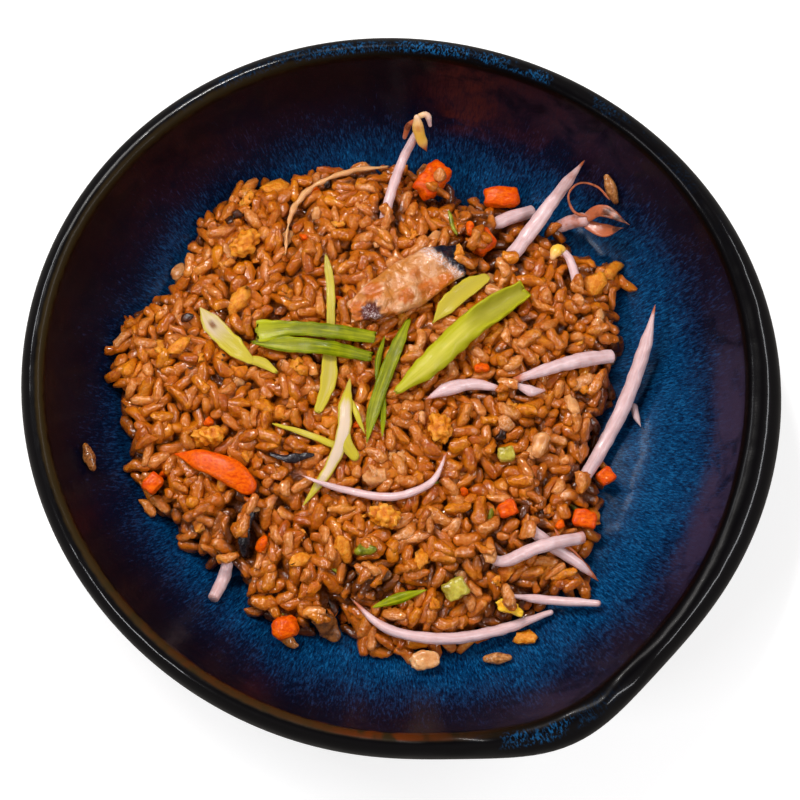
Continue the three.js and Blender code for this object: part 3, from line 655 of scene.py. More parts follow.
@dataclass(frozen=True)
class EggFinish:
    """Scrambled egg, yellow in its folds and browned outside."""

    brown: Colour = tint(178, 82, 0)
    amber: Colour = tint(210, 118, 4)
    yellow: Colour = tint(236, 166, 56)

    def material(self) -> bpy.types.Material:
        """Crumbly curd."""
        s = Shader("egg_curd")
        curd = s.noise(1.2, detail=4, rough=0.65, warp=0.4)
        share = s.maths("MULTIPLY_ADD", s.mark("tone"), 0.35, s.maths("MULTIPLY", curd, 0.7))
        colour = s.ramp(share, (0.30, self.brown), (0.50, self.amber), (0.74, self.yellow))
        # Egg bits that lie low between the grains are painted darker orange: painted shade.
        colour = s.mix(s.between(s.mark("low"), 0.15, 0.8, 0, 0.85), colour, tint(170, 76, 0))
        s.bump(curd, 0.5)
        s.fleshy(0.3, 1.0, (1.0, 0.6, 0.15))
        return s.finished(colour, 0.36, 0.25, 0.2)


@dataclass(frozen=True)
class MeatFinish:
    """Pale cooked flesh, seared at a corner, with a strip of dark skin."""

    flesh: Colour = tint(190, 116, 44)
    pale: Colour = tint(218, 164, 122)
    amber: Colour = tint(188, 94, 0)
    sear: Colour = tint(84, 22, 10)
    # Pale flecks of painted highlight on the seared corner.
    ash: Colour = tint(190, 168, 166)
    skin: Colour = tint(18, 18, 32)
    silver: Colour = tint(214, 198, 196)

    def material(self) -> bpy.types.Material:
        """The marks say where the flesh is amber, seared, silvery or skin, and where the sear carries painted
        highlights.
        """
        s = Shader("meat_flesh")
        cloud = s.noise(5.0, detail=3, rough=0.55, warp=0.8)
        fine = s.noise(0.6, detail=3, rough=0.7)
        colour = s.ramp(cloud, (0.40, self.flesh), (0.66, self.pale))
        colour = s.mix(s.maths("MULTIPLY", s.mark("amber"), s.between(cloud, 0.2, 0.5)), colour, self.amber)
        colour = s.mix(s.mark("silver"), colour, s.mix(s.between(fine, 0.35, 0.65), self.flesh, self.silver))
        colour = s.mix(s.mark("sear"), colour, self.sear)
        # Painted highlights: pale flecks over the sear.
        colour = s.mix(s.mark("ash"), colour, s.mix(s.between(fine, 0.5, 0.62), self.sear, self.ash))
        colour = s.mix(s.mark("skin"), colour, s.mix(s.between(fine, 0.5, 0.8), self.skin, tint(48, 52, 66)))
        folds = s.maths("ADD", cloud, s.noise(1.6, detail=2))
        s.bump(s.maths("ADD", folds, s.maths("MULTIPLY", fine, 0.12)), 0.6)
        s.fleshy(0.2, 1.2, (1.0, 0.6, 0.3))
        return s.finished(colour, 0.36, 0.2, 0.9, 0.06)


@dataclass(frozen=True)
class PlainFood:
    """A dark, brown or clear food with a mottled skin."""

    name: str
    dark: Colour
    light: Colour
    rough: float = 0.3
    clear: float = 0.0
    lump: float = 1.6
    relief: float = 0.3

    def material(self) -> bpy.types.Material:
        """Mottled between the two colours."""
        s = Shader(self.name)
        cloud = s.noise(self.lump, detail=4, rough=0.6)
        colour = s.ramp(cloud, (0.36, self.dark), (0.64, self.light))
        s.bump(cloud, self.relief)
        s.fleshy(self.clear, 1.5, (1.0, 0.6, 0.3))
        return s.finished(colour, self.rough, 0.25, 0.3, 0.1)


class Tip(Enum):
    """How a stalk ends: pairs of a distance, in half widths, and a share of the width there."""

    ROUND = ((0.0, 0.0), (0.06, 0.34), (0.24, 0.65), (0.52, 0.88), (1.0, 1.0))
    POINT = ((0.0, 0.0), (0.15, 0.16), (0.7, 0.38), (1.6, 0.66), (3.0, 0.9), (4.0, 1.0))
    CUT = ((0.0, 0.0), (0.02, 0.88), (0.14, 1.0))


Stains = tuple[tuple[float, float, float], ...]


@dataclass(frozen=True)
class Run:
    """A stalk, ribbon or slice led through points on the rice.

    Each point is x, y and how far the piece is lifted off what lies below it. Brown, yellow and deep are
    stains: each is the share of the length where it is strongest, its spread and its strength.
    """

    points: tuple[tuple[float, float, float], ...]
    wide: tuple[float, ...]
    flat: float = 1.0
    boxy: float = 1.0
    start: Tip = Tip.ROUND
    end: Tip = Tip.ROUND
    groove: tuple[float, ...] = (0.0,)
    ripple: float = 0.0
    torn: float = 0.0
    uneven: float = 0.05
    pale: tuple[float, ...] = (0.0,)
    rimmed: float = 0.0
    brown: Stains = ()
    yellow: Stains = ()
    deep: Stains = ()
    sides: int = 20
    seed: int = 1

    def middles(self, heap: HeapForm, shares: Array) -> tuple[Array, Array]:
        """Middle line and half width at shares of the length."""
        xy = np.array([point[:2] for point in self.points], float)
        lift = np.array([point[2] for point in self.points], float)
        broad = max(self.wide)
        height = heap.rest(xy[:, 0], xy[:, 1], broad, broad * self.flat) + lift
        line = led_through(np.column_stack([xy, height]), shares)
        across = eased(self.wide, shares)
        lowest = heap.rest(line[:, 0], line[:, 1], np.maximum(across, 0.4), across * self.flat)
        line[:, 2] = np.maximum(line[:, 2], lowest)
        return line, across

    def ring_shares(self, length: float) -> tuple[Array, Array]:
        """Shares of the length at which the skin has rings, and how far each ring is closed."""
        first, last = self.wide[0], self.wide[-1]
        head = [(step * max(first, 0.5), open_) for step, open_ in self.start.value]
        tail = [(step * max(last, 0.5), open_) for step, open_ in self.end.value]
        room = 0.45 * length
        head = [(min(step, room), open_) for step, open_ in head]
        tail = [(min(step, room), open_) for step, open_ in tail]
        count = max(6, int(length / 0.8))
        inner = np.linspace(head[-1][0], length - tail[-1][0], count + 2)[1:-1]
        gone = [step for step, _ in head] + list(inner) + [length - step for step, _ in reversed(tail)]
        opened = [open_ for _, open_ in head] + [1.0] * count + [open_ for _, open_ in reversed(tail)]
        return np.array(gone) / length, np.array(opened)

    def skin(self, heap: HeapForm) -> Patch:
        """The closed skin, with marks for its length, sides, paleness and stains."""
        rough, _ = self.middles(heap, np.linspace(0, 1, 60))
        length = float(np.linalg.norm(np.diff(rough, axis=0), axis=1).sum())
        shares, opened = self.ring_shares(length)
        line, across = self.middles(heap, shares)
        for _ in range(3):
            line[1:-1, 2] = (line[:-2, 2] + 2 * line[1:-1, 2] + line[2:, 2]) / 4
        even = np.linspace(0, 1, 80)
        coarse, _ = self.middles(heap, even)
        for _ in range(6):
            coarse[1:-1] = (coarse[:-2] + coarse[1:-1] + coarse[2:]) / 3
        ahead = np.column_stack([np.interp(shares, even, np.gradient(coarse[:, k])) for k in range(3)])
        ahead /= np.linalg.norm(ahead, axis=1)[:, None]
        side = np.column_stack([-ahead[:, 1], ahead[:, 0], np.zeros(len(ahead))])
        side /= np.linalg.norm(side, axis=1)[:, None]
        up = np.cross(ahead, side)

        turn = np.arange(self.sides) / self.sides * TURN
        cos, sin = np.cos(turn), np.sin(turn)
        squared_x = np.sign(cos) * np.abs(cos) ** self.boxy
        squared_y = np.sign(sin) * np.abs(sin) ** self.boxy
        dip = eased(self.groove, shares)[:, None] * np.clip(1 - (cos / 0.86) ** 2, 0, 1) * (sin > 0)
        width = (across * opened)[:, None]
        out = -width * squared_x
        rise = width * self.flat * (squared_y - 2 * dip)
        rise += self.ripple * np.abs(cos) ** 3 * np.sin(shares[:, None] * length / 2.6 + 2 * cos)
        spots = line[:, None, :] + side[:, None, :] * out[..., None] + up[:, None, :] * rise[..., None]
        swollen = 1 + self.uneven * lumps(spots.reshape(-1, 3), 3.5, self.seed).reshape(out.shape)
        spots = line[:, None, :] + (spots - line[:, None, :]) * swollen[..., None]
        if self.torn:
            draw = np.random.default_rng(self.seed)
            for ring, way in ((1, -1), (2, -1), (-2, 1), (-3, 1)):
                rag = self.torn * draw.uniform(-0.5, 1, self.sides)
                spots[ring] += ahead[ring] * (way * rag)[:, None] * (1 if abs(ring) == 1 else 0.6)

        corners = [line[:1], spots[1:-1].reshape(-1, 3), line[-1:]]

        def spread(values: Array) -> Array:
            """One value for each corner, from one for each ring and side."""
            grid = np.broadcast_to(values, (len(shares), self.sides))
            return np.concatenate([[grid[0].mean()], grid[1:-1].ravel(), [grid[-1].mean()]])

        rim = np.abs(cos) ** 3
        pale = eased(self.pale, shares)[:, None] * (1 - self.rimmed * rim)
        marks = {
            "gone": spread(shares[:, None] * length),
            "across": spread(cos[None, :]),
            "upper": spread(sin[None, :]),
            "pale": spread(pale),
            "trough": spread(np.clip(1.3 * dip, 0, 1)),
        }
        for name, stains in (("brown", self.brown), ("yellow", self.yellow), ("deep", self.deep)):
            if stains:
                strength = sum(s * np.exp(-(((shares - at) / wide) ** 2)) for at, wide, s in stains)
                marks[name] = spread(np.clip(strength, 0, 1)[:, None])
        return Patch(np.vstack(corners), tube_faces(len(shares) - 2, self.sides), marks)


def settled(patch: Patch, heap: HeapForm, lift: float = 0.0) -> Patch:
    """Raises a patch until no corner of it is below the ground."""
    x, y, z = patch.corners.T
    patch.corners[:, 2] += float((heap.ground(x, y) - z).max()) + GAP + lift
    return patch


@dataclass(frozen=True)
class Morsel:
    """A cut chunk or a soft crumb at a place on the heap."""

    at: tuple[float, float]
    size: tuple[float, float, float]
    yaw: float = 0.0
    lean: float = 0.0
    seed: int = 1
    lift: float = 0.0
    square: float = 5.0
    uneven: float = 0.06
    lump: float = 3.0

    def skin(self, heap: HeapForm) -> Patch:
        """A rounded box with a few dents, or with low squareness a crumb."""
        ball = bmesh.new()
        bmesh.ops.create_icosphere(ball, subdivisions=4, radius=1)
        spots = np.array([corner.co for corner in ball.verts])
        faces = [tuple(corner.index for corner in face.verts) for face in ball.faces]
        ball.free()
        norm = (np.abs(spots) ** self.square).sum(1) ** (1 / self.square)
        spots = spots / norm[:, None]
        corner = smooth(np.linalg.norm(spots, axis=1), 1.05, 1.5)
        spots = spots * np.asarray(self.size) / 2
        dent = lumps(spots + 40.0 * self.seed, self.lump, self.seed)
        fine = lumps(spots + 40.0 * self.seed, self.lump * 0.4, self.seed + 1)
        spots = spots * (1 + self.uneven * dent + 0.35 * self.uneven * fine)[:, None]
        for angle, first, second in ((self.lean, 2, 0), (self.yaw, 0, 1)):
            a, b = spots[:, first].copy(), spots[:, second].copy()
            spots[:, first] = a * math.cos(angle) - b * math.sin(angle)
            spots[:, second] = a * math.sin(angle) + b * math.cos(angle)
        spots[:, 0] += self.at[0]
        spots[:, 1] += self.at[1]
        marks = {"deep": np.clip(corner + 0.5 * dent, 0, 1), "tone": 0.5 + 0.3 * dent}
        return settled(Patch(spots, faces, marks), heap, self.lift)


@dataclass
class Bowl:
    """Wheel-thrown bowl with a rolled lip, one corner pinched out of the rim."""

    form: BowlForm
    columns: int = 240
    bumps: Swell = Swell(-1.15, 0.42, 0.55)
    outer_rings: int = 26
    lip_rings: int = 7
    inner_rings: int = 84

    def rings(self, angle: Array) -> list[tuple[Array, Array, float, float]]:
        """Radius, height, zone and way gone of each ring, from under the foot to the floor's middle."""
        f = self.form
        rim, lip, wall = f.rim(angle), f.lip(angle), f.wall(angle)
        even = np.ones_like(angle)
        foot = [
            (f.foot_hollow * 0.35, f.foot_recess), (f.foot_hollow * 0.7, f.foot_recess),
            (f.foot_hollow, f.foot_recess), (f.foot_hollow + 0.3, f.foot_recess - 0.3),
            (f.foot_inner - 0.2, 0.4), (f.foot_inner + 0.3, 0.0), (f.foot_outer - 0.5, 0.0),
            (f.foot_outer, 0.4), (f.foot_top - 0.3, f.foot_rise - 0.6),
        ]
        rows = [(even * radius, even * height, 3.5, 0.0) for radius, height in foot]
        for share in np.linspace(0, 0.97, self.outer_rings):
            height = f.foot_rise + (f.lip_roll[0][1] - f.foot_rise) * share**f.outer_power
            radius = f.foot_top + (rim - f.foot_top) * share
            rows.append((radius, even * height, 2.99 - 0.9 * share, 60 - 45 * share))
        knots = [(rim - lip * share, even * height) for share, height in f.lip_roll]
        knots = [(f.foot_top + (rim - f.foot_top) * 0.97, even * 38.3), *knots]
        knots += [(wall * share, even * f.wall_height(share)) for share in (0.998, 0.985)]
        wobble = self.bumps.at(angle) * (np.sin(23 * angle) + 0.7 * np.sin(37 * angle + 1))
        wobble = wobble + 0.12 * np.sin(9 * angle + 2) + 0.08 * np.sin(17 * angle)
        for i in range(1, len(knots) - 2):
            for step in np.arange(self.lip_rings) / self.lip_rings:
                near = knots[i - 1 : i + 3]
                radius, height = (_hermite([knot[k] for knot in near], step) for k in (0, 1))
                zone = np.clip((rim - radius) / lip, 0, 1)
                height = height + wobble * np.sin(math.pi * zone) ** 2
                rows.append((radius, height, 2.0 - zone, 12 - 10 * float(zone.mean())))
        shares = 1 - np.linspace(0, 1, self.inner_rings) ** 1.6 * 0.985
        for share in shares * 0.998:
            rows.append((wall * share, even * f.wall_height(share), share, 95 - 95 * share))
        return rows

    def skin(self) -> Patch:
        """The closed bowl, with marks for its zones, for the places where the glaze differs and for a painted
        reflection on the wall.
        """
        angle = np.arange(self.columns) / self.columns * TURN
        rows = self.rings(angle)
        radius = np.array([row[0] for row in rows])
        height = np.array([row[1] for row in rows])
        zone = np.array([np.broadcast_to(row[2], angle.shape) for row in rows])
        gone = np.array([np.full(angle.shape, row[3]) for row in rows])
        ring = np.stack([radius * np.cos(angle), radius * np.sin(angle), height], -1)
        corners = np.vstack([[0, 0, self.form.foot_recess], ring.reshape(-1, 3), [0, 0, self.form.floor_top]])
        faces = [(first, *reversed(rest)) for first, *rest in tube_faces(len(rows), self.columns)]
        marks = {"zone": zone, "gone": gone, **self.glaze_marks(np.broadcast_to(angle, zone.shape), zone)}
        for name, values in marks.items():
            marks[name] = np.concatenate([[values[0].mean()], values.ravel(), [values[-1].mean()]])
        return Patch(corners, faces, marks)

    def glaze_marks(self, angle: Array, zone: Array) -> dict[str, Array]:
        """Where the glaze turns rusty or amber, where the lip's crown is flecked with blue, and where a
        plum-grey painted reflection lies on the wall.
        """

        def band(low: float, high: float, soft: float) -> Array:
            """A stretch of the zones with soft ends."""
            return smooth(zone, low - soft, low) * (1 - smooth(zone, high, high + soft))

        def toward(heading: float, spread: float) -> Array:
            """One side of the bowl."""
            return Swell(heading, spread, 1.0).at(angle)

        # The painted reflection lies mostly on the right wall, fainter at the upper right and at the pinched
        # corner.
        plum = toward(-0.1, 0.3) + toward(-0.42, 0.22) + 0.35 * toward(1.0, 0.3) + 0.5 * toward(-1.1, 0.2)
        rust = toward(1.36, 0.12) + 0.35 * toward(1.1, 0.3) + 0.2 * toward(2.3, 0.4)
        olive = toward(3.1, 0.75) + toward(-2.3, 0.5) + 0.6 * toward(-1.7, 0.4) + 0.5 * toward(2.1, 0.4)
        return {
            "cool": np.clip(toward(-0.3, 0.75) + 0.55 * toward(-1.6, 0.6) + 0.3 * toward(0.6, 0.5), 0, 1),
            "plum": np.clip(plum, 0, 1) * band(0.955, 0.985, 0.045),
            "rust": np.clip(rust, 0, 1) * band(0.9, 0.985, 0.05),
            "olive": np.clip(olive, 0, 1),
            "amber": np.clip(toward(-1.62, 0.17) + 0.4 * toward(-2.2, 0.3), 0, 1) * band(1.04, 1.3, 0.06),
            "crown": np.clip(toward(1.45, 0.45) + 0.8 * toward(-1.2, 0.12), 0, 1) * band(1.3, 1.62, 0.14),
        }

    def build(self) -> bpy.types.Object:
        """Makes the bowl and dresses it."""
        return in_place(self.skin().as_object("glazed_bowl", ReactiveGlaze().material()), "glaze", "bowl")


def _hermite(values: Sequence[Array], step: float) -> Array:
    """Eases from the second value to the third, with the first and fourth as neighbours."""
    before, here, after, beyond = values
    leave, arrive = (after - before) / 2, (beyond - here) / 2
    weights = (
        2 * step**3 - 3 * step**2 + 1, step**3 - 2 * step**2 + step,
        3 * step**2 - 2 * step**3, step**3 - step**2,
    )
    return sum(w * v for w, v in zip(weights, (here, leave, after, arrive)))


@dataclass
class Table:
    """What has been laid on the rice so far, with the heap that carries it."""

    heap: HeapForm
    laid: list[Patch] = field(default_factory=list)

    def lay(self, name: str, patch: Patch, finish: bpy.types.Material, slot: str, *nodes: str) -> None:
        """Dresses a patch as a piece and remembers it, so that grains keep out of it."""
        self.laid.append(patch)
        in_place(patch.as_object(name, finish, self.heap.place), slot, *nodes)

    def fused(self, *runs: Run) -> Patch:
        """The skins of several runs as one piece."""
        return Patch.joined([run.skin(self.heap) for run in runs])


@dataclass
class Sprouts:
    """Bean sprouts, each a list of branches, and a dry root."""

    stalks: tuple[tuple[Run, ...], ...] = (
        (
            Run(((-5.1, 53.3, 0), (-2.6, 62.5, 3), (0.5, 72.1, 7.5), (3, 76, 8.5), (5.2, 78.6, 11)),
                (1.45, 1.4, 1.3, 1.2), brown=((0.0, 0.1, 0.35), (1.0, 0.06, 0.6)), seed=11),
            Run(((4.2, 81.2, 12.5), (5, 77.4, 12), (7.2, 73.6, 8.5)), (0.8, 1.6, 1.5, 0.4),
                flat=0.8, end=Tip.POINT, yellow=((0.5, 0.5, 0.95),), seed=12,
                brown=((1.0, 0.2, 1.0), (0.3, 0.12, 0.4))),
            Run(((4.6, 80.6, 12.2), (2.2, 79.6, 11), (0.8, 76.8, 9.5)), (0.5, 0.9, 0.6),
                flat=0.6, brown=((0.4, 0.7, 0.95),), torn=0.4, seed=13),
            Run(((4.4, 81, 12), (7, 81.6, 11.6), (8.2, 79, 11)), (0.8, 0.9, 0.5),
                yellow=((0.0, 0.5, 0.6),), seed=14),
        ),
        (
            Run(((29, 41, 0.2), (36.4, 51, 3.5), (43.5, 60.5, 7), (50.6, 67, 12)), (2.0, 2.2, 1.7, 0.3),
                flat=0.8, end=Tip.POINT, sides=24, seed=21,
                brown=((1.0, 0.08, 0.9), (0.82, 0.05, 0.35), (0.05, 0.07, 0.3))),
        ),
        (
            Run(((24, 52.3, 0), (31, 56, 0.5), (37.6, 58.8, 0.8)), (0.7, 2, 1.9, 1.8), flat=0.9,
                end=Tip.CUT, brown=((0.0, 0.12, 0.5),), seed=31),
        ),
        (
            Run(((42.2, 52.8, 0.5), (47.4, 54.2, 4), (52.6, 54, 7)), (1.6, 1.9, 2.0), seed=41,
                brown=((0.7, 0.6, 0.4),)),
            Run(((51.5, 54.3, 7), (56, 55.3, 9.5), (63.5, 50.6, 9)), (1.4, 1.8, 0.2), flat=0.45,
                end=Tip.POINT, groove=(0.0, 0.5, 0.0), seed=42,
                brown=((1.0, 0.4, 1.0), (0.4, 0.6, 0.75))),
            Run(((51.5, 53.5, 6.4), (56.5, 50.8, 7), (62, 50.3, 8.4)), (1.4, 1.9, 0.2), flat=0.45,
                end=Tip.POINT, groove=(0.0, 0.4, 0.0), seed=43, brown=((1.0, 0.3, 1.0), (0.4, 0.6, 0.7))),
            Run(((52.2, 54.6, 9), (48.6, 55.6, 11), (46.8, 60, 11.5), (49.6, 62.8, 10.5),
                 (54.6, 61.8, 8), (58.3, 58.2, 7)), (0.5, 0.32, 0.3, 0.34), start=Tip.POINT,
                end=Tip.POINT, sides=8, brown=((0.5, 2.0, 0.85),), seed=44),
        ),
        (
            Run(((49.4, 35.3, 0), (48.6, 39.7, 1), (47.4, 43.6, 2.5), (45.4, 46, 3.4)),
                (1.3, 1.3, 1.2, 1.0), seed=51),
            Run(((46.4, 45.8, 3.2), (44.2, 46, 2.8), (42.2, 42.8, 1.6)), (1.0, 1.75, 0.6),
                yellow=((0.4, 0.8, 1.0),), brown=((1.0, 0.15, 0.4),), seed=52),
        ),
        (
            Run(((70.7, 29.1, 7.5), (67.9, 17.3, 6.5), (62.2, 1.8, 4), (56, -10.1, 1.2), (49.7, -20.5, 0.4)),
                (0.3, 2.0, 2.1, 2.0, 1.7), start=Tip.POINT, sides=24, seed=61,
                brown=((0.0, 0.05, 0.9), (0.97, 0.04, 0.4))),
        ),
        (
            Run(((30.6, 7, 0), (40.7, 10.8, 0.8), (49.8, 13.9, 1.2), (59.3, 16.1, 1.2)),
                (0.9, 1.7, 2.1, 1.9), flat=0.8, end=Tip.CUT, brown=((0.0, 0.12, 0.7),), seed=71),
            Run(((31.2, 6.4, 0), (35.6, 4.6, 0), (40, 5, 0)), (0.6, 1.5, 0.4), flat=0.7,
                brown=((1.0, 0.2, 0.5),), seed=72),
        ),
        (
            Run(((6.5, 1.4, 0), (12.8, 4.4, 0.2), (20.3, 6, 0.2), (27.6, 4.8, 0)), (0.4, 1.9, 1.6, 0.8),
                flat=0.8, start=Tip.POINT, seed=81, brown=((0.0, 0.12, 0.6), (1.0, 0.1, 0.6))),
        ),
        (
            Run(((-27.2, -19.6, 1.2), (-22.5, -21.6, 1.9), (-15.4, -23.4, 0.5), (-1.7, -25.3, 0.2),
                 (8.4, -21.2, 0.3), (12.5, -13, 0.2)), (0.3, 0.95, 1.15, 1.05, 0.3), start=Tip.POINT,
                end=Tip.POINT, brown=((0.0, 0.05, 0.6), (1.0, 0.06, 0.7)), seed=91),
        ),
        (
            Run(((22.9, -39.8, 0), (26.8, -42.4, 0), (38, -38.7, 4.6), (50.1, -35.5, 3.4)),
                (1.2, 1.8, 1.8, 1.7), flat=0.85, end=Tip.CUT, seed=101,
                brown=((0.0, 0.08, 0.4), (0.98, 0.06, 0.45))),
            Run(((41.8, -33.6, 5.6), (43.9, -36.6, 4.6), (48.3, -40.4, 3.4), (53.9, -46.6, 3.2)),
                (0.4, 0.32, 0.3), start=Tip.POINT, end=Tip.POINT, sides=8, seed=102,
                brown=((0.5, 2.0, 0.75),)),
        ),
        (
            Run(((34, -32.4, 0.3), (40.9, -37.8, 0), (47.9, -42.1, 0.2), (54.5, -47.3, 0.6)),
                (1.6, 1.7, 1.5, 0.3), end=Tip.POINT, brown=((1.0, 0.14, 1.0),), seed=111),
        ),
        (
            Run(((-14.1, -52, 0), (-4.5, -60.3, 0.2), (10.6, -63.3, 0.8), (26, -60.9, 1), (42, -55.4, 0.5)),
                (0.3, 1.45, 1.65, 1.55, 0.8), start=Tip.POINT, sides=24, seed=121,
                brown=((0.0, 0.09, 1.0), (0.18, 0.03, 0.3))),
        ),
        (
            Run(((29.6, -51.4, 0), (40, -52.4, 1.2), (54.6, -53.8, 2)), (0.5, 1.25, 1.25, 0.9),
                brown=((1.0, 0.03, 0.5),), seed=131),
        ),
        (
            Run(((-47.8, -41.7, 0.2), (-49.3, -46.4, 0.4), (-51.8, -52.2, 0)), (1.7, 1.8, 1.6),
                end=Tip.CUT, brown=((1.0, 0.06, 0.35),), seed=141),
        ),
        (
            Run(((65.4, 3.4, 0.2), (66, 0.4, 0.4), (67.4, -3.4, 0)), (1.1, 1, 0.3), end=Tip.POINT,
                seed=151),
        ),
    )
    root: Run = Run(
        ((-3.8, 71.5, 0.3), (-16, 69.2, 0.3), (-26.4, 63.5, 0.4), (-31.1, 55.7, 0.3), (-32.5, 43.4, 0.1)),
        (0.4, 0.7, 0.55, 0.8, 0.5, 0.3), end=Tip.POINT, sides=12, uneven=0.4, torn=0.6,
        brown=((0.2, 0.1, 0.3), (0.7, 0.1, 0.3)), seed=161,
    )

    def build(self, table: Table) -> None:
        """Makes one piece for each sprout, and the root."""
        finish = SproutFinish().material()
        for number, branches in enumerate(self.stalks, 1):
            table.lay(f"sprout_{number}", table.fused(*branches), finish, "sprout", f"bean_sprout_{number}")
        dry = SproutFinish(shade=tint(190, 122, 62), white=tint(230, 180, 126)).material()
        table.lay("dry_root", table.fused(self.root), dry, "root", "sprout_root")


@dataclass
class SpringOnions:
    """Shreds of spring onion, from green tops to the white part near the root."""

    split_pale: tuple[Run, ...] = (
        Run(((-56.5, 29.3, 0), (-52, 23, 0.2), (-45.9, 16.6, 0.2), (-41, 12.4, 0)), (0.9, 2.9, 2.8, 1.2),
            flat=0.32, start=Tip.POINT, groove=(0.0, 0.7, 0.5, 0.2), pale=(0.75, 0.9, 0.6, 0.35),
            rimmed=0.3, brown=((0.3, 0.08, 0.6),), seed=201),
        Run(((-43.2, 13.4, 0), (-39.4, 12.8, 0), (-34.4, 9.4, 0)), (1.2, 1.5, 0.7), flat=0.4,
            torn=1.4, pale=(0.4, 0.3, 0.45), seed=202),
    )
    green_fork: tuple[Run, ...] = (
        Run(((-39.6, 20.6, 2.2), (-28, 21.4, 1.8), (-16.9, 19.8, 2.6), (-7.4, 18.6, 1.4)),
            (3.2, 2, 2, 1.8), flat=0.34, start=Tip.CUT, end=Tip.CUT, groove=(0.5, 0.3, 0.2, 0.3),
            torn=0.9, pale=(0.42, 0.0, 0.0, 0.1), rimmed=-0.6, seed=211),
        Run(((-40.6, 17.6, 2.2), (-30.7, 16.9, 1.8), (-19.6, 15.4, 2.6), (-8.6, 13.4, 1.2)),
            (2.2, 2.3, 2, 1.5), flat=0.34, start=Tip.POINT, end=Tip.CUT, groove=(0.2, 0.4, 0.0, 0.2),
            torn=1.5, pale=(0.1, 0.16, 0.06, 0.0), seed=212),
    )
    long_pale: tuple[Run, ...] = (
        Run(((-21, 42.9, 0), (-19.6, 33, 0), (-19.7, 15.5, 0), (-20.2, 5.7, 0), (-23, -2, 0)),
            (1.1, 1.2, 1.2, 2.3, 1.3), flat=0.36, start=Tip.POINT, groove=(0.2, 0.2, 0.3, 0.6, 0.3),
            torn=0.8, pale=(0.1, 0.35, 0.3, 0.66, 0.6), rimmed=0.25, seed=221),
    )
    frayed_green: tuple[Run, ...] = (
        Run(((2.1, 24.2, 0.4), (-1.5, 15.4, 0.6), (-4.2, 8.4, 0.6), (-7.5, -1.5, 0.6), (-9.4, -10.6, 0.3)),
            (0.8, 1.9, 1.9, 1.8, 0.4), flat=0.5, end=Tip.POINT, groove=(0.1, 0.5, 0.3, 0.5, 0.1),
            torn=0.9, pale=(0.2, 0.0, 0.05, 0.12, 0.2), seed=231),
        Run(((-5.4, 4, 0.2), (-5, -2, 0), (-5.2, -9, 0)), (1, 0.9, 0.3), flat=0.5, end=Tip.POINT,
            pale=(0.0, 0.1, 0.3), seed=232),
        Run(((-4.6, 19.4, 0.2), (-6.3, 13, 0.3), (-6.9, 6.6, 0.2)), (0.4, 0.9, 0.4), flat=0.4,
            start=Tip.POINT, end=Tip.POINT, sides=12, seed=233),
    )
    white_split: tuple[Run, ...] = (
        Run(((-14.1, 7.6, 0), (-15.2, 0, 0.3), (-15.9, -8.4, 0.3), (-19.5, -17.2, 0.2), (-26.9, -27.6, 0)),
            (0.5, 2, 1.8, 1.4, 0.4), flat=0.4, start=Tip.POINT, end=Tip.POINT,
            pale=(0.0, 0.95, 1.15, 0.9, 0.3), rimmed=0.55, seed=241),
        Run(((-15.2, -6, 0.3), (-15, -10.6, 0.3), (-12.2, -15.2, 0)), (1, 1.7, 1.4), flat=0.4,
            torn=0.7, pale=(0.4, 0.3, 0.5), seed=242),
        Run(((-35.5, -5, 0), (-26.5, -7.5, 0), (-16.4, -12, 0.7)), (0.4, 0.9, 1), flat=0.6,
            start=Tip.POINT, pale=(0.5, 0.62, 0.4), seed=243),
        Run(((-13.8, 2, 0.6), (-11.9, -3.6, 0.3), (-9.8, -8.4, 0.1)), (0.4, 0.8, 0.3), flat=0.4,
            start=Tip.POINT, end=Tip.POINT, sides=12, pale=(0.3, 0.5, 0.2), seed=244),
    )
    pale_leaf: tuple[Run, ...] = (
        Run(((8.8, 23.6, 0), (13.5, 29.2, 0), (18.6, 33.8, 0.2), (24.4, 37.4, 0.2)), (0.8, 2.6, 2.6, 1.4),
            flat=0.28, start=Tip.POINT, torn=0.8, groove=(0.2, 0.6, 0.6, 0.3),
            pale=(0.4, 0.44, 0.48, 0.4), seed=251),
    )
    thin_green: tuple[Run, ...] = (
        Run(((-8, -54.8, 0), (-0.4, -52.4, 0), (7, -50.2, 0)), (0.6, 1.5, 0.4), flat=0.5,
            start=Tip.POINT, end=Tip.POINT, pale=(0.3, 0.1, 0.3), seed=261),
    )
    shoot: tuple[Run, ...] = (
        Run(((-1.4, 3, 1.4), (7.9, 10.8, 1.2), (20.4, 23.1, 1.2), (34.4, 33.4, 1.6)),
            (1.2, 3.4, 3.7, 3.8, 2.8), flat=0.62, end=Tip.CUT, groove=(0.0, 0.0, 0.0, 0.95, 1.0),
            torn=0.8, pale=(0.7, 0.78, 0.74, 0.5, 0.45), rimmed=0.5, sides=32, seed=271),
    )

    def build(self, table: Table) -> None:
        """Makes one piece for each shred."""
        green = LeafFinish("leaf_green", tint(66, 82, 0), tint(112, 120, 0), tint(168, 170, 16)).material()
        pale = LeafFinish("leaf_pale", tint(150, 136, 40), tint(178, 158, 70)).material()
        fresh = LeafFinish(
            "leaf_fresh", tint(112, 118, 0), tint(160, 156, 6), tint(170, 166, 26), tint(208, 196, 92)
        ).material()
        shreds = {
            "split_pale": (self.split_pale, pale, "leaf_pale"),
            "green_fork": (self.green_fork, green, "leaf_green"),
            "long_pale": (self.long_pale, pale, "leaf_pale"),
            "frayed_green": (self.frayed_green, green, "leaf_green"),
            "white_split": (self.white_split, pale, "leaf_pale"),
            "pale_leaf": (self.pale_leaf, pale, "leaf_pale"),
            "thin_green": (self.thin_green, green, "leaf_green"),
            "shoot": (self.shoot, fresh, "leaf_green"),
        }
        for name, (runs, finish, slot) in shreds.items():
            table.lay(f"onion_{name}", table.fused(*runs), finish, slot, f"spring_onion_{name}")


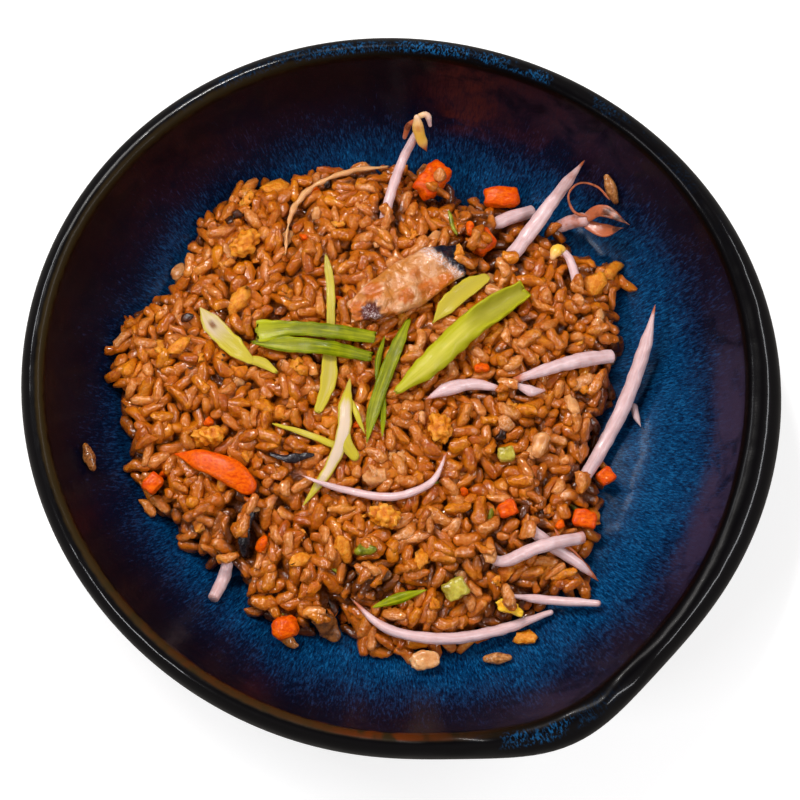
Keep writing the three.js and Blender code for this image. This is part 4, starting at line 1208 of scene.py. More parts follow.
@dataclass
class MeatFlake:
    """A flake of pale cooked meat with a browned corner and a strip of dark skin."""

    body: Run = Run(
        ((-13.8, 25.6, 0.2), (-5.3, 29.6, 0.4), (2.4, 34.2, 0.6), (10.6, 39.4, 0.4), (16.6, 41.4, 0.2)),
        (3, 5.6, 7, 6.4, 4.6), flat=0.42, boxy=0.72, start=Tip.CUT, end=Tip.CUT, sides=96,
        uneven=0.0, torn=0.6, seed=301,
    )
    spots: tuple[tuple[str, float, float, float, float], ...] = (
        ("sear", -8.4, 25.0, 3.6, 1.0), ("sear", -5.6, 22.8, 2.4, 1.0),
        # The next two spots carry painted highlights over the sear.
        ("ash", -8.6, 25.4, 2.0, 1.0), ("ash", -6.6, 23.9, 1.3, 0.9),
        ("amber", -7.6, 31.0, 3.4, 1.0), ("amber", -12.0, 25.6, 4.0, 1.0), ("amber", 1.3, 29.8, 2.6, 1.0),
        ("amber", 12.6, 34.0, 3.6, 1.0), ("amber", 7.4, 32.4, 3.4, 0.9), ("amber", 4.0, 36.6, 2.0, 0.7),
        ("amber", -2.6, 23.4, 3.4, 0.8),
    )
    skin_from: tuple[float, float] = (9.4, 45.0)
    skin_to: tuple[float, float] = (19.4, 37.6)
    skin_wide: float = 1.5
    silver_wide: float = 4.6

    def build(self, table: Table) -> None:
        """Adds folds to the flake and paints its marks."""
        patch = self.body.skin(table.heap)
        spots = patch.corners
        upper = np.clip(patch.marks["upper"], 0, 1)
        fold = lumps(spots * [1, 1, 0], 8.0, 302) + 0.5 * lumps(spots * [1, 1, 0], 3.4, 303)
        spots[:, 2] += 0.75 * upper * fold
        spots[:, :2] += 0.5 * lumps(spots * [1, 1, 0], 4.0, 304)[:, None] * (1 - upper)[:, None]
        for name, x, y, wide, strength in self.spots:
            near = np.exp(-((np.hypot(spots[:, 0] - x, spots[:, 1] - y) / wide) ** 2) * 1.2)
            near = smooth(near + 0.12 * lumps(spots, 1.6, 305), 0.35, 0.6) * strength
            patch.marks[name] = np.maximum(patch.marks.get(name, np.zeros(len(spots))), near)
        start, end = np.array(self.skin_from), np.array(self.skin_to)
        along = (end - start) / np.linalg.norm(end - start)
        off = (spots[:, :2] - start) @ np.array([-along[1], along[0]])
        off = off + 0.25 * lumps(spots, 2.0, 306)
        inward = -off * np.sign(float((np.array([0.0, 32.0]) - start) @ np.array([along[1], -along[0]])))
        patch.marks["skin"] = 1 - smooth(inward, self.skin_wide - 0.2, self.skin_wide + 0.25)
        patch.marks["silver"] = 1 - smooth(inward, self.skin_wide + 1.4, self.silver_wide)
        table.lay("pale_flake", patch, MeatFinish().material(), "meat", "meat_flake")


@dataclass
class Carrots:
    """One lens-shaped slice and small cut chunks."""

    slice: Run = Run(
        ((-62.6, -12.6, 0.2), (-54.1, -15, 0.3), (-46.5, -18.4, 0.4), (-40.3, -23.6, 0.3)),
        (0.5, 3, 3.7, 2.6), flat=0.5, boxy=0.8, start=Tip.POINT, sides=32, uneven=0.03,
        deep=((0.0, 0.12, 0.8), (1.0, 0.1, 0.6)), seed=401,
    )
    chunks: tuple[Morsel, ...] = (
        Morsel((8.8, 66.4), (11, 7, 5.4), 0.9, 0.15, 1, 0.4),
        Morsel((28.6, 62.2), (9.6, 5.6, 5), 0.02, 0.0, 2),
        Morsel((22.8, 47.4), (7, 6, 5), 0.7, 0.0, 3),
        Morsel((-31.8, -60.3), (7, 6, 5.4), 0.3, 0.0, 4, square=3.0),
        Morsel((50.6, -30.2), (6.4, 5, 4), -0.2, 0.0, 5),
        Morsel((57, -17.8), (4.8, 4.4, 3.8), 0.6, 0.0, 6),
        Morsel((-68.6, -20.6), (5.6, 4.6, 4), 0.9, 0.0, 7),
        Morsel((29, -28.4), (5, 4.4, 4), 0.4, 0.0, 8),
    )

    def build(self, table: Table) -> None:
        """Makes the slice and the chunks."""
        bright = CarrotFinish().material()
        table.lay("carrot_lens", table.fused(self.slice), bright, "carrot", "carrot_slice")
        for number, chunk in enumerate(self.chunks, 1):
            table.lay(f"carrot_{number}", chunk.skin(table.heap), bright, "carrot", f"carrot_chunk_{number}")


CURD = {"square": 2.0, "uneven": 0.16, "lump": 2.2}


@dataclass
class EggCrumbs:
    """The larger crumbs of scrambled egg."""

    crumbs: tuple[Morsel, ...] = (
        Morsel((-43.9, 46.9), (9, 6, 5), 0.8, seed=11, **CURD),
        Morsel((-52.8, -8), (9, 5, 4.5), 0.1, seed=12, **CURD),
        Morsel((-4.4, -30.6), (8, 6, 4.5), -0.5, seed=13, **CURD),
        Morsel((10.6, -6.6), (6, 8, 4.5), 0.3, seed=14, **CURD),
        Morsel((29.4, -54.6), (7.4, 3.2, 3), -0.45, seed=15, square=2.0, uneven=0.2),
    )

    def build(self, table: Table, curd: bpy.types.Material) -> None:
        """Makes the crumbs; the last is a strip of pure yolk."""
        yolk = EggFinish(tint(238, 150, 10), tint(250, 186, 26), tint(255, 206, 60)).material()
        for number, crumb in enumerate(self.crumbs, 1):
            finish = yolk if number == len(self.crumbs) else curd
            table.lay(f"egg_{number}", crumb.skin(table.heap), finish, "egg", f"egg_crumb_{number}")


@dataclass
class DarkPieces:
    """Black fungus and brown mushroom."""

    fungus: tuple[Run, ...] = (
        Run(((-40.4, -26, 0), (-42.6, -31, 0.2), (-43.2, -36, 0.2), (-43, -40.6, 0)), (1, 2.2, 1.8, 0.8),
            flat=0.5, ripple=0.5, torn=0.8, uneven=0.22, seed=501),
        Run(((-36, -13.2, 0), (-31, -14.6, 0.2), (-24, -13.6, 0)), (0.6, 1.2, 0.6), flat=0.6,
            ripple=0.3, torn=0.6, uneven=0.2, seed=502),
    )
    mushroom: tuple[Run, ...] = (
        Run(((-12.4, -44.4, 0), (-7.4, -46.4, 0.2), (-2.6, -46, 0)), (1.2, 2.6, 1.2), flat=0.4,
            uneven=0.12, seed=503),
        Run(((-23.4, -57.2, 0), (-20, -60, 0.2), (-17.6, -63.6, 0)), (1.8, 3, 1.8), flat=0.4,
            uneven=0.12, start=Tip.CUT, seed=504),
    )

    def build(self, table: Table) -> None:
        """Makes the strips and slices."""
        black = PlainFood("black_fungus", tint(12, 9, 12), tint(44, 34, 40), 0.25).material()
        tan = PlainFood("brown_mushroom", tint(84, 44, 14), tint(140, 84, 36), 0.35, 0.2).material()
        for number, run in enumerate(self.fungus, 1):
            table.lay(f"fungus_{number}", table.fused(run), black, "fungus", f"fungus_strip_{number}")
        for number, run in enumerate(self.mushroom, 1):
            table.lay(f"mushroom_{number}", table.fused(run), tan, "mushroom", f"mushroom_slice_{number}")


@dataclass
class OnionBits:
    """Softened, half clear onion."""

    bits: tuple[Morsel, ...] = (
        Morsel((28.8, -13.3), (4.4, 4, 3.2), 0.2, seed=21, uneven=0.08),
        Morsel((14.8, -50), (6.4, 5.4, 3.2), 0.5, seed=22, uneven=0.08),
        Morsel((6.3, -69), (8, 5, 2.6), 0.1, seed=23, uneven=0.1, square=3.0),
    )

    def build(self, table: Table) -> None:
        """Makes the bits: two of them still green."""
        green, clear = (
            PlainFood(name, dark, light, 0.2, 0.5, 3.0).material()
            for name, dark, light in (
                ("green_onion_bit", tint(142, 122, 24), tint(190, 176, 70)),
                ("clear_onion_bit", tint(196, 128, 70), tint(228, 176, 124)),
            )
        )
        for number, bit in enumerate(self.bits, 1):
            finish = clear if number == len(self.bits) else green
            table.lay(f"onion_{number}", bit.skin(table.heap), finish, "onion", f"onion_bit_{number}")


class Bit(Enum):
    """Small things that are strewn through the heap, by the name of their piece."""

    PALE = "pale_grains"
    TAN = "tan_grains"
    AMBER = "amber_grains"
    EGG = "egg_bits"
    CHAR = "charred_bits"
    CARROT = "carrot_bits"
    ONION = "clear_bits"
    GREEN = "green_bits"


@dataclass(frozen=True)
class BitForm:
    """Shape of one kind of bit.

    Its half sizes are its length, width and height. The share is the part of all bits that are of this
    kind, the spread tells how much larger or smaller they may be, and sink is how deep they press in.
    """

    half: tuple[float, float, float]
    share: float
    slot: str
    spread: tuple[float, float] = (0.9, 1.1)
    sink: float = 0.54
    bend: float = 0.0
    blunt: float = 0.0
    uneven: float = 1.0
    lump: float = 2.4
    sides: int = 8
    rings: int = 8


GRAIN_HALF = (3.8, 1.66, 1.5)

BITS: dict[Bit, BitForm] = {
    Bit.PALE: BitForm(GRAIN_HALF, 0.24, "rice", bend=0.5, blunt=0.16, uneven=1.4, lump=2.7),
    Bit.TAN: BitForm(GRAIN_HALF, 0.40, "rice", bend=-0.4, blunt=0.12, uneven=1.6, lump=3.0),
    Bit.AMBER: BitForm(GRAIN_HALF, 0.24, "rice", bend=0.2, blunt=0.2, uneven=1.5, lump=2.3),
    Bit.EGG: BitForm((2.6, 1.9, 1.1), 0.11, "egg", (0.35, 1.2), 0.5, uneven=2.2, lump=1.5, rings=6),
    Bit.CHAR: BitForm((1.5, 0.9, 0.6), 0.02, "fungus", (0.4, 1.3), 0.6, uneven=1.6, lump=1.2, rings=6),
    Bit.CARROT: BitForm((1.5, 1.2, 1.1), 0.006, "carrot", (0.7, 1.2), 0.6, blunt=0.2, uneven=1.2),
    Bit.ONION: BitForm((2.6, 1.9, 1.1), 0.02, "onion", (0.7, 1.2), 0.6, blunt=0.15, uneven=1.4),
    Bit.GREEN: BitForm((1.8, 0.9, 0.6), 0.004, "leaf_green", (0.7, 1.3), 0.6, uneven=1.0),
}


@dataclass
class Cloud:
    """Places, turns, sizes and tones of the bits of one kind."""

    rows: list[tuple[float, ...]] = field(default_factory=list)

    def add(
        self, x: float, y: float, yaw: float, rest: Sequence[float], size: Sequence[float], tone: float
    ) -> None:
        """Remembers one bit, with the height and the two slopes at which it came to rest."""
        turn = (math.atan(rest[2]), -math.atan(rest[1]), yaw)
        self.rows.append((x, y, rest[0], *turn, *size, tone))


@dataclass
class GrainBed:
    """A height map of the heap, on which grains come to rest one after another."""

    heap: HeapForm
    sink: float = 2.6
    crest: float = 2.5
    clump: tuple[float, float] = (1.4, 9.0)
    nook: tuple[float, float] = (0.8, 4.5)
    hole_depth: float = 4.0
    paste: float = 0.85
    steepest: float = 0.8
    follow: tuple[float, float] = (0.7, 0.5)
    tip_over: float = 1.4
    mean_over: float = 0.2
    pitch: float = 0.5
    corner: tuple[float, float] = (-90.0, -82.0)
    cells: int = 336

    def __post_init__(self) -> None:
        """Starts with the bare core."""
        self.xs = self.corner[0] + self.pitch * np.arange(self.cells)
        self.ys = self.corner[1] + self.pitch * np.arange(self.cells)
        self.x, self.y = np.meshgrid(self.xs, self.ys, indexing="ij")
        self.glaze = self.heap.glaze(self.x, self.y)
        self.share = self.heap.share(self.x, self.y)
        self.bare = self.core(self.x, self.y)
        self.surface = self.bare.copy()
        self.covered = np.zeros(self.x.shape, bool)
        self.roof = np.full(self.x.shape, np.inf)
        self.tops = np.full(self.x.shape, -np.inf)
        lift = self.crest + self.clump[0] * self.cloud(self.clump[1], 611)
        self.limit = self.heap.ground(self.x, self.y) + lift + self.nook[0] * self.cloud(self.nook[1], 612)

    def cloud(self, size: float, seed: int) -> Array:
        """Slow unevenness over the whole bed."""
        flat = np.column_stack([self.x.ravel(), self.y.ravel(), np.zeros(self.x.size)])
        return lumps(flat, size, seed).reshape(self.x.shape)

    def core(self, x: Array, y: Array) -> Array:
        """Height of the core that the grains cover."""
        share = self.heap.share(x, y)
        glaze = self.heap.glaze(x, y)
        sunk = self.heap.ground(x, y) - self.sink * (1 - 0.4 * smooth(share, 0.6, 1.0))
        return np.where(share < 0.955, np.maximum(glaze + 0.3, sunk), glaze)

    def cells_under(self, spots: Array) -> tuple[Array, Array]:
        """The cells that places lie in."""
        cells = ((spots[:, :2] - self.corner) / self.pitch).round().astype(int)
        return tuple(np.clip(cells, 0, self.cells - 1).T)

    def keep_out(self, patches: Sequence[Patch]) -> None:
        """Marks what lies on the rice, and lowers the grains beside it."""
        for patch in patches:
            i, j = self.cells_under(patch.corners)
            np.minimum.at(self.roof, (i, j), patch.corners[:, 2])
            np.maximum.at(self.tops, (i, j), patch.corners[:, 2])
        self.roof = _spread(self.roof, np.minimum)
        self.tops = _spread(self.tops, np.maximum)
        self.underside = self.roof.copy()
        near = np.where(self.roof - self.heap.ground(self.x, self.y) < 3.2, 1.0, 0.0)
        fade = np.zeros_like(near)
        for _ in range(5):
            fade += near
            near = _spread(near, np.maximum)
        level = self.heap.ground(self.x, self.y) + self.crest - 1.3
        self.limit = self.limit * (1 - fade / 5) + np.minimum(self.limit, level) * fade / 5

    def open_over(self, x: float, y: float, radius: float) -> None:
        """Lets grains lie on top of a piece near a place."""
        near = np.hypot(self.x - x, self.y - y) < radius + 2.4
        self.covered |= near & (self.tops > self.surface)
        self.surface[near] = np.maximum(self.surface[near], self.tops[near])
        self.roof[near] = np.inf
        self.limit[near] = np.maximum(self.limit[near], self.tops[near] + 2.2)

    def hollow(self, x: float, y: float, radius: float) -> None:
        """Keeps a dark hole between the grains."""
        self.limit -= self.hole_depth * np.exp(-(((self.x - x) ** 2 + (self.y - y) ** 2) / radius**2))

    def settle(
        self, x: float, y: float, yaw: float, half: Sequence[float], rock: Sequence[float],
        sink: float, free: bool = False,
    ) -> tuple[float, float, float] | None:
        """Drops a bit.

        Args:
            x: Place of its middle.
            y: Place of its middle.
            yaw: Heading of its long side.
            half: Half of its length, width and height.
            rock: How much steeper than the ground it lies, lengthwise and sideways.
            sink: Share of its underside that stays clear of the bits below; the rest is pressed in.
            free: Whether it may stand out of the heap.

        Returns:
            Its height and its two slopes, or None where it doesn't fit.
        """
        a, b, c = half
        i = int((x - a - self.corner[0]) / self.pitch)
        j = int((y - a - self.corner[1]) / self.pitch)
        count = int(2 * a / self.pitch) + 2
        box = (slice(i, i + count), slice(j, j + count))
        dx, dy = self.xs[box[0]][:, None] - x, self.ys[box[1]][None, :] - y
        u = dx * math.cos(yaw) + dy * math.sin(yaw)
        v = dy * math.cos(yaw) - dx * math.sin(yaw)
        dome = 1 - (u / a) ** 2 - (v / b) ** 2
        under = dome > 0.04
        u, v, root = u[under], v[under], c * np.sqrt(dome[under])
        below = self.surface[box][under]
        off = below - below.mean()
        slope_u, slope_v = (
            share * float(np.clip((w * off).sum() / (w * w).sum(), -self.steepest, self.steepest)) + more
            for share, w, more in zip(self.follow, (u, v), rock)
        )
        tilt = u * slope_u + v * slope_v
        touch = below - tilt + root
        height = float(np.partition(touch, int(sink * len(touch)))[int(sink * len(touch))])
        height = max(height, float((self.glaze[box][under] - tilt + root).max()) + 0.1)
        top = height + tilt + root
        if (top > self.roof[box][under] - 0.1).mean() > 0.02:
            return None
        high = top - self.limit[box][under]
        if not free and (high.max() > self.tip_over or high.mean() > self.mean_over):
            return None
        self.surface[box][under] = np.maximum(below, top)
        return height, slope_u, slope_v

    def level_off(self) -> None:
        """Finds the crests between which the finished grains are low."""
        crest = self.surface
        for _ in range(5):
            crest = _spread(crest, np.maximum)
        for _ in range(4):
            crest = sum(np.roll(crest, step, axis) for axis in (0, 1) for step in (-1, 1)) / 4
        self.crest_line = crest
        level = np.where(self.covered, self.bare, self.surface)
        for _ in range(3):
            level = level / 2 + sum(np.roll(level, step, axis) for axis in (0, 1) for step in (-1, 1)) / 8
        level = np.minimum(level - self.paste, self.underside - 0.5)
        self.level = np.where(self.share < 0.97, np.maximum(level, self.bare), self.glaze)

    def filled(self, x: Array, y: Array) -> Array:
        """Height of the wet rice that fills the gaps between the grains."""
        u, v = (x - self.corner[0]) / self.pitch, (y - self.corner[1]) / self.pitch
        i, j = np.floor(u).astype(int), np.floor(v).astype(int)
        u, v = u - i, v - j
        near = self.level[i, j] * (1 - u) + self.level[i + 1, j] * u
        far = self.level[i, j + 1] * (1 - u) + self.level[i + 1, j + 1] * u
        return near * (1 - v) + far * v

    def depth(self, spots: Array) -> Array:
        """How far places lie below the crests around them, as a share of a grain's length; the finishes paint
        shade by it.
        """
        i, j = self.cells_under(spots)
        return np.clip((self.crest_line[i, j] - spots[:, 2] - 0.6) / 4.2, 0, 1)


def _spread(values: Array, pick: np.ufunc) -> Array:
    """Each cell takes the least or most of itself and its neighbours."""
    wide = pick(pick(values, np.roll(values, 1, 0)), np.roll(values, -1, 0))
    return pick(pick(wide, np.roll(wide, 1, 1)), np.roll(wide, -1, 1))


@dataclass
class Strewing:
    """Geometry Nodes that put one small shape on each point of a cloud, each a little different."""

    bit: Bit
    form: BitForm
    seed: int = 7

    def tree(self, finish: bpy.types.Material) -> bpy.types.NodeTree:
        """Builds the node tree with its named sizes."""
        tree = bpy.data.node_groups.new(self.bit.value, "GeometryNodeTree")
        face = tree.interface
        face.new_socket("Geometry", in_out="INPUT", socket_type="NodeSocketGeometry")
        face.new_socket("Geometry", in_out="OUTPUT", socket_type="NodeSocketGeometry")
        for label in self.sizes():
            face.new_socket(label, in_out="INPUT", socket_type="NodeSocketFloat")
        t = Nodes(tree)
        given = t.node("NodeGroupInput").outputs
        ball = t.node("GeometryNodeMeshUVSphere", {
            "Segments": self.form.sides, "Rings": self.form.rings, "Radius": 1.0,
        })
        spot = t.node("GeometryNodeInputPosition").outputs[0]
        upward, across, along = t.node("ShaderNodeSeparateXYZ", {0: spot}).outputs
        square = t.maths("MULTIPLY", along, along)
        thin = t.maths("MAXIMUM", t.maths("SUBTRACT", 1.0, square), 0.02)
        fat = t.maths("POWER", thin, t.maths("MULTIPLY", given["Blunt ends"], -1.0))
        bow = t.maths("MULTIPLY", given["Bend"], t.maths("SUBTRACT", square, 0.35))
        broad = t.maths("MULTIPLY", t.maths("MULTIPLY", across, fat), given["Half width"])
        shaped = t.node("ShaderNodeCombineXYZ", {
            0: t.maths("MULTIPLY", along, given["Half length"]),
            1: t.maths("ADD", broad, bow),
            2: t.maths("MULTIPLY", t.maths("MULTIPLY", upward, fat), given["Half height"]),
        })
        form = t.node("GeometryNodeSetPosition", {
            "Geometry": ball.outputs["Mesh"], "Position": shaped.outputs[0],
        })
        kind = "GeometryNodeInputNamedAttribute"
        turn, size = (
            t.node(kind, {"Name": name}, data_type="FLOAT_VECTOR").outputs["Attribute"]
            for name in ("turn", "size")
        )
        strew = t.node("GeometryNodeInstanceOnPoints", {
            "Points": given["Geometry"], "Instance": form.outputs[0], "Scale": size,
            "Rotation": t.node("FunctionNodeEulerToRotation", {0: turn}).outputs[0],
        })
        real = t.node("GeometryNodeRealizeInstances", {0: strew.outputs[0]})
        lump = t.maths("DIVIDE", 1.0, given["Lump size"])
        noise = t.node(
            "ShaderNodeTexNoise", {"W": given["Seed"], "Scale": lump, "Detail": 1.0}, noise_dimensions="4D"
        )
        centred = t.vector("SUBTRACT", noise.outputs["Color"], (0.5, 0.5, 0.5))
        pushed = t.vector("SCALE", centred, Scale=t.maths("MULTIPLY", given["Unevenness"], 2.0))
        rough = t.node("GeometryNodeSetPosition", {"Geometry": real.outputs[0], "Offset": pushed})
        soft = t.node("GeometryNodeSetShadeSmooth", {"Geometry": rough.outputs[0]})
        dress = t.node("GeometryNodeSetMaterial", {"Material": finish, "Geometry": soft.outputs[0]})
        t.node("NodeGroupOutput", {0: dress.outputs[0]})
        return tree

    def sizes(self) -> dict[str, float]:
        """The tree's named inputs, with lengths in metres."""
        form = self.form
        return {
            **{f"Half {side}": half * MM for side, half in zip(("length", "width", "height"), form.half)},
            "Bend": form.bend * MM, "Blunt ends": form.blunt, "Unevenness": form.uneven * MM,
            "Lump size": form.lump * MM, "Seed": float(self.seed),
        }

    def strew(self, cloud: Cloud, finish: bpy.types.Material, bed: GrainBed) -> bpy.types.Object:
        """Makes the real bits of a cloud as one plain mesh, with a low mark for painted shade where they lie
        low and an up mark for painted light where they face up.
        """
        rows = np.array(cloud.rows)
        name = self.bit.value
        mesh = bpy.data.meshes.new(name)
        place = np.array([*bed.heap.place, 0])
        mesh.from_pydata(((rows[:, :3] + place) * MM).tolist(), [], [])
        paint(mesh, {"turn": rows[:, 3:6], "size": rows[:, 6:9], "tone": rows[:, 9]})
        made = linked(name, mesh)
        modifier = made.modifiers.new("strewing", "NODES")
        modifier.node_group = self.tree(finish)
        sizes = self.sizes()
        for item in modifier.node_group.interface.items_tree:
            if item.item_type == "SOCKET" and item.in_out == "INPUT" and item.name in sizes:
                modifier[item.identifier] = sizes[item.name]
        graph = bpy.context.evaluated_depsgraph_get()
        real = bpy.data.meshes.new_from_object(
            made.evaluated_get(graph), preserve_all_data_layers=True, depsgraph=graph
        )
        made.modifiers.clear()
        made.data = real
        for label in ("turn", "size"):
            if label in real.attributes:
                real.attributes.remove(real.attributes[label])
        spots, facing = np.empty(3 * len(real.vertices)), np.empty(3 * len(real.vertices))
        real.vertices.foreach_get("co", spots)
        real.vertex_normals.foreach_get("vector", facing)
        # Depth below the crests and upward facing, which the finishes turn into painted shade and painted
        # light.
        low = bed.depth(spots.reshape(-1, 3) / MM - place)
        paint(real, {"low": low, "up": np.clip(facing[2::3], 0, 1)})
        return in_place(made, self.form.slot, "rice_heap")


@dataclass
class RiceHeap:
    """The heap: a core of sauce-wet rice under real grains, with crumbs of egg and specks between them.

    Buried places and holes are x, y and a radius. An accent is a bit at a known place on top: x, y, its
    heading and how much larger its three half sizes are.
    """

    heap: HeapForm
    grains: int = 5000
    tries: int = 60000
    picks: int = 4
    core_rings: int = 110
    core_columns: int = 560
    buried: tuple[tuple[float, float, float], ...] = (
        (12.6, 63.4, 3.4), (29, 41, 2.6), (24.6, 52.4, 2.0), (42.6, 52.6, 2.0), (-5.1, 53.6, 2.0),
        (49.6, 34.8, 2.0), (49.9, -20.6, 1.8), (23.4, -40, 2.0), (34.2, -32.6, 2.2), (30, -51.4, 2.0),
        (-47.8, -41.6, 1.8), (17.6, 41.4, 1.6), (20.6, 47.4, 2.4), (-40.6, -26.6, 1.8),
        (-43.6, -33.0, 1.6), (-22.6, -57.2, 2.4), (-8.4, -46, 2.6), (28.6, 5.0, 1.6),
    )
    holes: tuple[tuple[float, float, float], ...] = (
        (27.0, -9.5, 2.6), (25.6, -20.4, 2.2), (52.9, 34.0, 3.2), (-44.3, -28.3, 3.0), (-41.5, -36.4, 3.0),
        (-29.0, -18.1, 2.6), (-19.6, -52.6, 2.6), (10.5, -27.6, 2.4), (2.4, -18.2, 2.2), (-15.7, 44.6, 2.6),
        (-28.5, 57.0, 3.0), (-31.0, 38.0, 3.4), (-36.0, 26.0, 2.4), (14.0, 20.0, 2.2), (36.0, 24.0, 2.6),
        (-52.0, 8.0, 2.4), (-24.0, -34.0, 2.6), (40.0, -20.0, 2.4),
    )
    accents: tuple[tuple[Bit, tuple[tuple[float, ...], ...]], ...] = (
        (Bit.EGG, (
            (-35.7, 64.6, 0.4, 1.6, 1.3, 1.3), (-32.4, 40.1, 1.2, 1.3, 1.2, 1.2),
            (-44.9, 30.2, 0.9, 1.8, 1.2, 1.2), (18.8, 2.7, 0.2, 1.3, 1.3, 1.2),
            (-15.4, -39.5, 2.0, 1.6, 1.0, 1.2), (34.2, -62.6, 0.1, 1.2, 1.2, 1.3),
            (5.1, -42.2, 1.3, 1.3, 1.0, 1.1), (-27.7, -42.1, 0.5, 1.2, 1.1, 1.1),
            (38.3, 10.4, 2.4, 1.2, 1.0, 1.2), (-61.4, 17.6, 0.7, 1.4, 1.0, 1.1),
            (54.4, 36.2, 0.7, 1.7, 1.5, 1.6), (59.5, 40.6, 0.8, 1.6, 1.2, 1.4),
            (-8.1, 24.0, 0.5, 1.3, 1.1, 1.1),
        )),
        (Bit.CARROT, (
            (22.3, 10.7, 0.3, 1.5, 1.1, 1.0), (-38.2, -37.8, 1.0, 1.8, 1.4, 1.1),
            (43.7, -32.1, 0.4, 1.0, 1.0, 1.0), (19.3, 51.6, 1.4, 1.4, 1.0, 1.0),
            (-66.0, -17.6, 0.2, 1.0, 1.0, 1.0),
        )),
        (Bit.ONION, (
            (-7.2, -20.0, 0.2, 1.4, 1.2, 1.0), (38.3, -10.1, 1.2, 1.4, 1.2, 1.2),
            (47.5, 1.5, 2.0, 1.2, 1.0, 1.0),
        )),
        (Bit.GREEN, (
            (-9.9, -39.7, 0.1, 1.9, 1.7, 1.6), (14.4, 53.4, -1.3, 2.4, 0.7, 1.2),
        )),
        (Bit.CHAR, (
            (27.4, -8.0, 0.6, 1.8, 1.4, 1.0), (-19.0, -54.0, 1.8, 1.8, 1.3, 1.0),
            (-60.0, 26.0, 0.4, 1.4, 1.2, 1.0),
        )),
    )

    def core_skin(self, bed: GrainBed) -> Patch:
        """The closed core, uneven at the size of a grain's width."""
        angle = np.arange(self.core_columns) / self.core_columns * TURN
        shares = np.linspace(0.945, 0, self.core_rings + 1)[:-1]
        reach = shares[:, None] * self.heap.reach_at(angle)[None, :]
        x = self.heap.middle[0] + reach * np.cos(angle)
        y = self.heap.middle[1] + reach * np.sin(angle)
        glaze = self.heap.glaze(x, y) + 0.25
        flat = np.stack([x, y, np.zeros_like(x)], -1).reshape(-1, 3)
        relief = 0.16 * lumps(flat, 1.8, 601).reshape(x.shape) * smooth(shares, 0.99, 0.8)[:, None]
        top = np.maximum(bed.filled(x, y) + relief, glaze + 0.05)
        low = self.heap.middle
        corners = np.vstack([
            np.stack([x, y, top], -1).reshape(-1, 3),
            np.stack([x[:1], y[:1], glaze[:1] - 0.05], -1).reshape(-1, 3),
            [[*low, float(bed.filled(*(np.array([side]) for side in low))[0])], [*low, 8.3]],
        ])
        rings, columns = self.core_rings, self.core_columns

        def at(ring: int, column: int) -> int:
            """Number of a corner."""
            return ring * columns + column % columns

        faces: list[tuple[int, ...]] = []
        for k in range(columns):
            for i in range(rings - 1):
                faces.append((at(i, k), at(i, k + 1), at(i + 1, k + 1), at(i + 1, k)))
            faces.append((at(rings, k), at(rings, k + 1), at(0, k + 1), at(0, k)))
            faces.append((at(rings - 1, k), at(rings - 1, k + 1), len(corners) - 2))
            faces.append((at(rings, k + 1), at(rings, k), len(corners) - 1))
        # The core gets painted shade by its depth below the crests, and an up mark that paints it as pale as
        # a top lit from above.
        even = np.full(len(corners), 0.5)
        return Patch(corners, faces, {"low": bed.depth(corners), "up": 1.2 * even, "tone": 0.8 * even})

    def drop(self, bed: GrainBed) -> dict[Bit, Cloud]:
        """Lets grains and bits fall on the lowest places until the heap is full."""
        draw = np.random.default_rng(205)
        clouds = {bit: Cloud() for bit in Bit}
        laid = {bit: 0 for bit in Bit}
        inside = np.argwhere(bed.share < 0.985 + 0.03 * bed.cloud(5.0, 613))
        patchy = bed.cloud(16.0, 602)
        kinds = [bit for bit in Bit if bit not in (Bit.PALE, Bit.TAN, Bit.AMBER)]
        for _ in range(self.tries):
            spots = inside[draw.integers(0, len(inside), self.picks)]
            room = bed.limit[spots[:, 0], spots[:, 1]] - bed.surface[spots[:, 0], spots[:, 1]]
            i, j = spots[int(np.argmax(room))]
            total = sum(laid.values()) + 1
            wanted = [bit for bit in kinds if laid[bit] < BITS[bit].share * total]
            if wanted:
                bit = wanted[int(draw.integers(0, len(wanted)))]
            else:
                lean = patchy[i, j] * 0.22 + draw.normal(0, 0.34)
                bit = Bit.AMBER if lean > 0.26 else Bit.PALE if lean < -0.14 else Bit.TAN
            form = BITS[bit]
            size = np.clip(draw.normal(1.0, 0.08, 3), 0.8, 1.2) * draw.uniform(*form.spread)
            if bit not in kinds and draw.random() < 0.14:
                size[0] *= draw.uniform(0.5, 0.8)
            x, y = bed.xs[i] + draw.uniform(-0.25, 0.25), bed.ys[j] + draw.uniform(-0.25, 0.25)
            yaw = draw.uniform(0, TURN)
            rest = bed.settle(x, y, yaw, form.half * size, draw.normal(0, (0.2, 0.2)), form.sink)
            if rest is None:
                continue
            # Grains that rest lower in the heap get a darker tone and higher ones a paler tone: painted shade
            # and light by height, with some random spread.
            deep = (rest[0] - bed.limit[i, j] + 2.0) / 4.0
            tone = float(np.clip(0.5 + 0.35 * deep + draw.normal(0, 0.16), 0, 1))
            clouds[bit].add(x, y, yaw, rest, size, tone)
            laid[bit] += 1
            if sum(laid.values()) >= self.grains:
                break
        for x, y, radius in self.buried:
            for bit, yaw in zip((Bit.TAN, Bit.PALE), draw.uniform(0, TURN, 2)):
                spot = np.array([x, y]) + draw.normal(0, 0.35 * radius, 2)
                rest = bed.settle(*spot, yaw, 0.85 * np.array(GRAIN_HALF), (0.0, 0.0), 0.4, free=True)
                if rest is not None:
                    clouds[bit].add(*spot, yaw, rest, (0.85, 0.85, 0.85), 0.6)
        for bit, rows in self.accents:
            for x, y, yaw, *size in rows:
                rest = bed.settle(x, y, yaw, np.array(BITS[bit].half) * size, (0.0, 0.0), 0.55, free=True)
                if rest is not None:
                    clouds[bit].add(x, y, yaw, rest, size, 0.6)
        LOG.info("bits laid: %s", {bit.value: count for bit, count in laid.items()})
        return clouds

